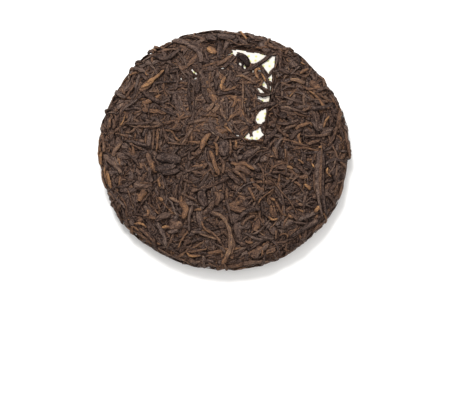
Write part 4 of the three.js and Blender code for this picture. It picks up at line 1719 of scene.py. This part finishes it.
@dataclass
class Ticket:
    """The slip of paper that is pressed into the face, and the dust over it. Sizes are in millimetres."""

    skin: Skin
    level: float
    width: float = 73.0
    height: float = 75.0
    turn: float = -8.6
    middle: Point = (0.2, 45.0)
    thickness: float = 0.15
    cells: int = 90
    crumple_height: float = 0.5
    crumple_size: float = 9.0
    crumple_depth: int = 2
    dust_lift: float = 0.35
    dust_thickness: float = 0.25
    dust_margin: float = 0.8

    def corners(self) -> np.ndarray:
        """The slip's corners on the plane."""
        half = np.array([[-1, -1], [1, -1], [1, 1], [-1, 1]]) * [self.width / 2, self.height / 2]
        return turned(half, self.turn) + self.middle

    def _grid(self, name: str, level: float, margin: float) -> bpy.types.Object:
        """Lays a fine grid the size of the slip on the face, crumpled as the slip is.

        Args:
            name: The piece's name.
            level: How far out of the skin it lies.
            margin: How much further out its edges lie than the slip's.

        Returns:
            The piece.
        """
        bpy.ops.object.select_all(action="DESELECT")
        bpy.ops.mesh.primitive_grid_add(x_subdivisions=self.cells, y_subdivisions=self.cells, size=MM)
        piece = bpy.context.active_object
        piece.name = piece.data.name = name
        bpy.ops.object.mode_set(mode="EDIT")
        bpy.ops.mesh.select_all(action="SELECT")
        bpy.ops.transform.resize(value=(self.width + 2 * margin, self.height + 2 * margin, 1))
        bpy.ops.object.mode_set(mode="OBJECT")
        flat = np.array([vertex.co.to_tuple()[:2] for vertex in piece.data.vertices]) / MM
        points, normals = self.skin.on_face(turned(flat, self.turn) + self.middle)
        for vertex, place in zip(piece.data.vertices, (points + normals * level) * MM):
            vertex.co = place
        roughen(piece, self.crumple_height, self.crumple_size, self.crumple_depth)
        return piece

    @staticmethod
    def _thicken(piece: bpy.types.Object, thickness: float, material: bpy.types.Material) -> None:
        """Gives a sheet its thickness and its material.

        Args:
            piece: The sheet.
            thickness: How thick it gets.
            material: Its material.
        """
        apply_modifier(piece, "SOLIDIFY", thickness=thickness * MM, offset=0)
        bpy.ops.object.shade_smooth()
        piece.data.materials.append(material)

    def build(self) -> bpy.types.Object:
        """Makes the slip of paper.

        Returns:
            The piece.
        """
        piece = self._grid("ticket_sheet", self.level, 0.0)
        self._thicken(piece, self.thickness, PaperFinish().material())
        return piece

    def build_dust(self) -> bpy.types.Object:
        """Makes the leaf dust that is packed over the slip, open where the slip shows.

        Returns:
            The piece.
        """
        piece = self._grid("ticket_dust", self.level + self.dust_lift, self.dust_margin)
        bpy.ops.object.mode_set(mode="EDIT")
        bpy.ops.mesh.select_mode(type="FACE")
        bpy.ops.mesh.select_all(action="DESELECT")
        bpy.ops.object.mode_set(mode="OBJECT")
        flat = np.array([face.center for face in piece.data.polygons])[:, :2] / MM
        piece.data.polygons.foreach_set("select", in_patch(flat) | in_chink(flat))
        bpy.ops.object.mode_set(mode="EDIT")
        bpy.ops.mesh.delete(type="FACE")
        bpy.ops.object.mode_set(mode="OBJECT")
        self._thicken(piece, self.dust_thickness, CoreFinish("leaf_dust").material())
        return piece


@dataclass(frozen=True)
class Lamp:
    """A square area light: its place, its width and its power in watts."""

    name: str
    place: tuple[float, float, float]
    size: float
    power: float

    def build(self) -> None:
        """Makes the light, pointed at the cake."""
        data = bpy.data.lights.new(self.name, "AREA")
        data.size = self.size
        data.energy = self.power
        light = bpy.data.objects.new(self.name, data)
        bpy.context.scene.collection.objects.link(light)
        light.location = self.place
        light.rotation_euler = (-Vector(self.place)).to_track_quat("-Z", "Y").to_euler()


@dataclass
class Studio:
    """The pale floor, the soft light and the camera."""

    elevation: float = 73.4
    distance: float = 2000 * MM
    lens: float = 202.3
    sensor: float = 36.0
    below_centre: float = 43.7 * MM
    right_of_centre: float = 0.9 * MM
    look_height: float = 10 * MM
    floor_size: float = 6.0
    floor_colour: Colour = linear(250, 249, 247)
    floor_roughness: float = 0.9
    sky_colour: Colour = (1.0, 1.0, 1.0, 1.0)
    sky_strength: float = 0.715
    lamps: tuple[Lamp, ...] = (
        Lamp("key", (-0.32, 0.98, 1.2), 0.7, 31.0),
        Lamp("fill", (0.5, -0.9, 1.0), 1.2, 7.0),
    )

    def build(self) -> None:
        """Makes the floor, the sky, the lamps and the camera."""
        self._floor()
        self._sky()
        for lamp in self.lamps:
            lamp.build()
        self._camera()
        bpy.context.scene.view_settings.view_transform = "Standard"

    def _floor(self) -> None:
        """Makes a wide plane with a dull pale paint."""
        bpy.ops.object.select_all(action="DESELECT")
        bpy.ops.mesh.primitive_plane_add(size=self.floor_size, location=(0, 0, 0))
        floor = bpy.context.active_object
        floor.name = "floor"
        paint = Shader("floor_paint").finish(Base_Color=self.floor_colour, Roughness=self.floor_roughness)
        floor.data.materials.append(paint)

    def _sky(self) -> None:
        """Makes an even white sky."""
        world = bpy.data.worlds.new("studio")
        bpy.context.scene.world = world
        world.use_nodes = True
        background = world.node_tree.nodes["Background"]
        background.inputs["Color"].default_value = self.sky_colour
        background.inputs["Strength"].default_value = self.sky_strength

    def _camera(self) -> None:
        """Makes the camera, which looks down on the face and a little below the cake's middle."""
        rise = math.radians(self.elevation)
        back = Vector((0, -math.cos(rise), math.sin(rise)))
        up = Vector((0, math.sin(rise), math.cos(rise)))
        centre = Vector((0, 0, self.look_height))
        target = centre - up * self.below_centre + Vector((1, 0, 0)) * self.right_of_centre
        data = bpy.data.cameras.new("camera")
        data.lens = self.lens
        data.sensor_width = self.sensor
        camera = bpy.data.objects.new("camera", data)
        bpy.context.scene.collection.objects.link(camera)
        camera.location = centre + back * self.distance
        camera.rotation_euler = (target - camera.location).to_track_quat("-Z", "Y").to_euler()
        bpy.context.scene.camera = camera


def hand_over(piece: bpy.types.Object, node: str) -> None:
    """Lets a piece ride on the cake in a CAD node's place, and reports it.

    Args:
        piece: The piece.
        node: The CAD node that it replaces.
    """
    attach(piece, ROOT)
    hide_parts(node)
    log.info("%s: %d triangles", piece.name, sum(len(p.vertices) - 2 for p in piece.data.polygons))


def main() -> None:
    """Builds the cake, the ticket and the studio in order."""
    logging.basicConfig(level=logging.INFO, format="%(message)s")
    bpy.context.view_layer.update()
    low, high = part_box(LEAF_NODE)
    skin = Skin(radius=(high.x - low.x) / 2 / MM, top=high.z / MM)
    ticket = Ticket(skin, Bed.ticket_level - Bed.ticket_gap)
    bed = Bed(skin, ticket)
    for kind in KINDS:
        bed.scatter(kind)
    bed.cover_ticket()
    bed.lay_edges()
    bed.lay_leads()
    bed.lay_prongs()
    bed.settle()
    hand_over(Core(skin, bed.core_level).build(), LEAF_NODE)
    leaf = LeafFinish().material()
    for strands in bed.batches:
        hand_over(Bundle(strands, bed.rng).build(leaf), LEAF_NODE)
    hand_over(ticket.build_dust(), LEAF_NODE)
    hand_over(ticket.build(), TICKET_NODE)
    Studio().build()


if __name__ == "__main__":
    main()
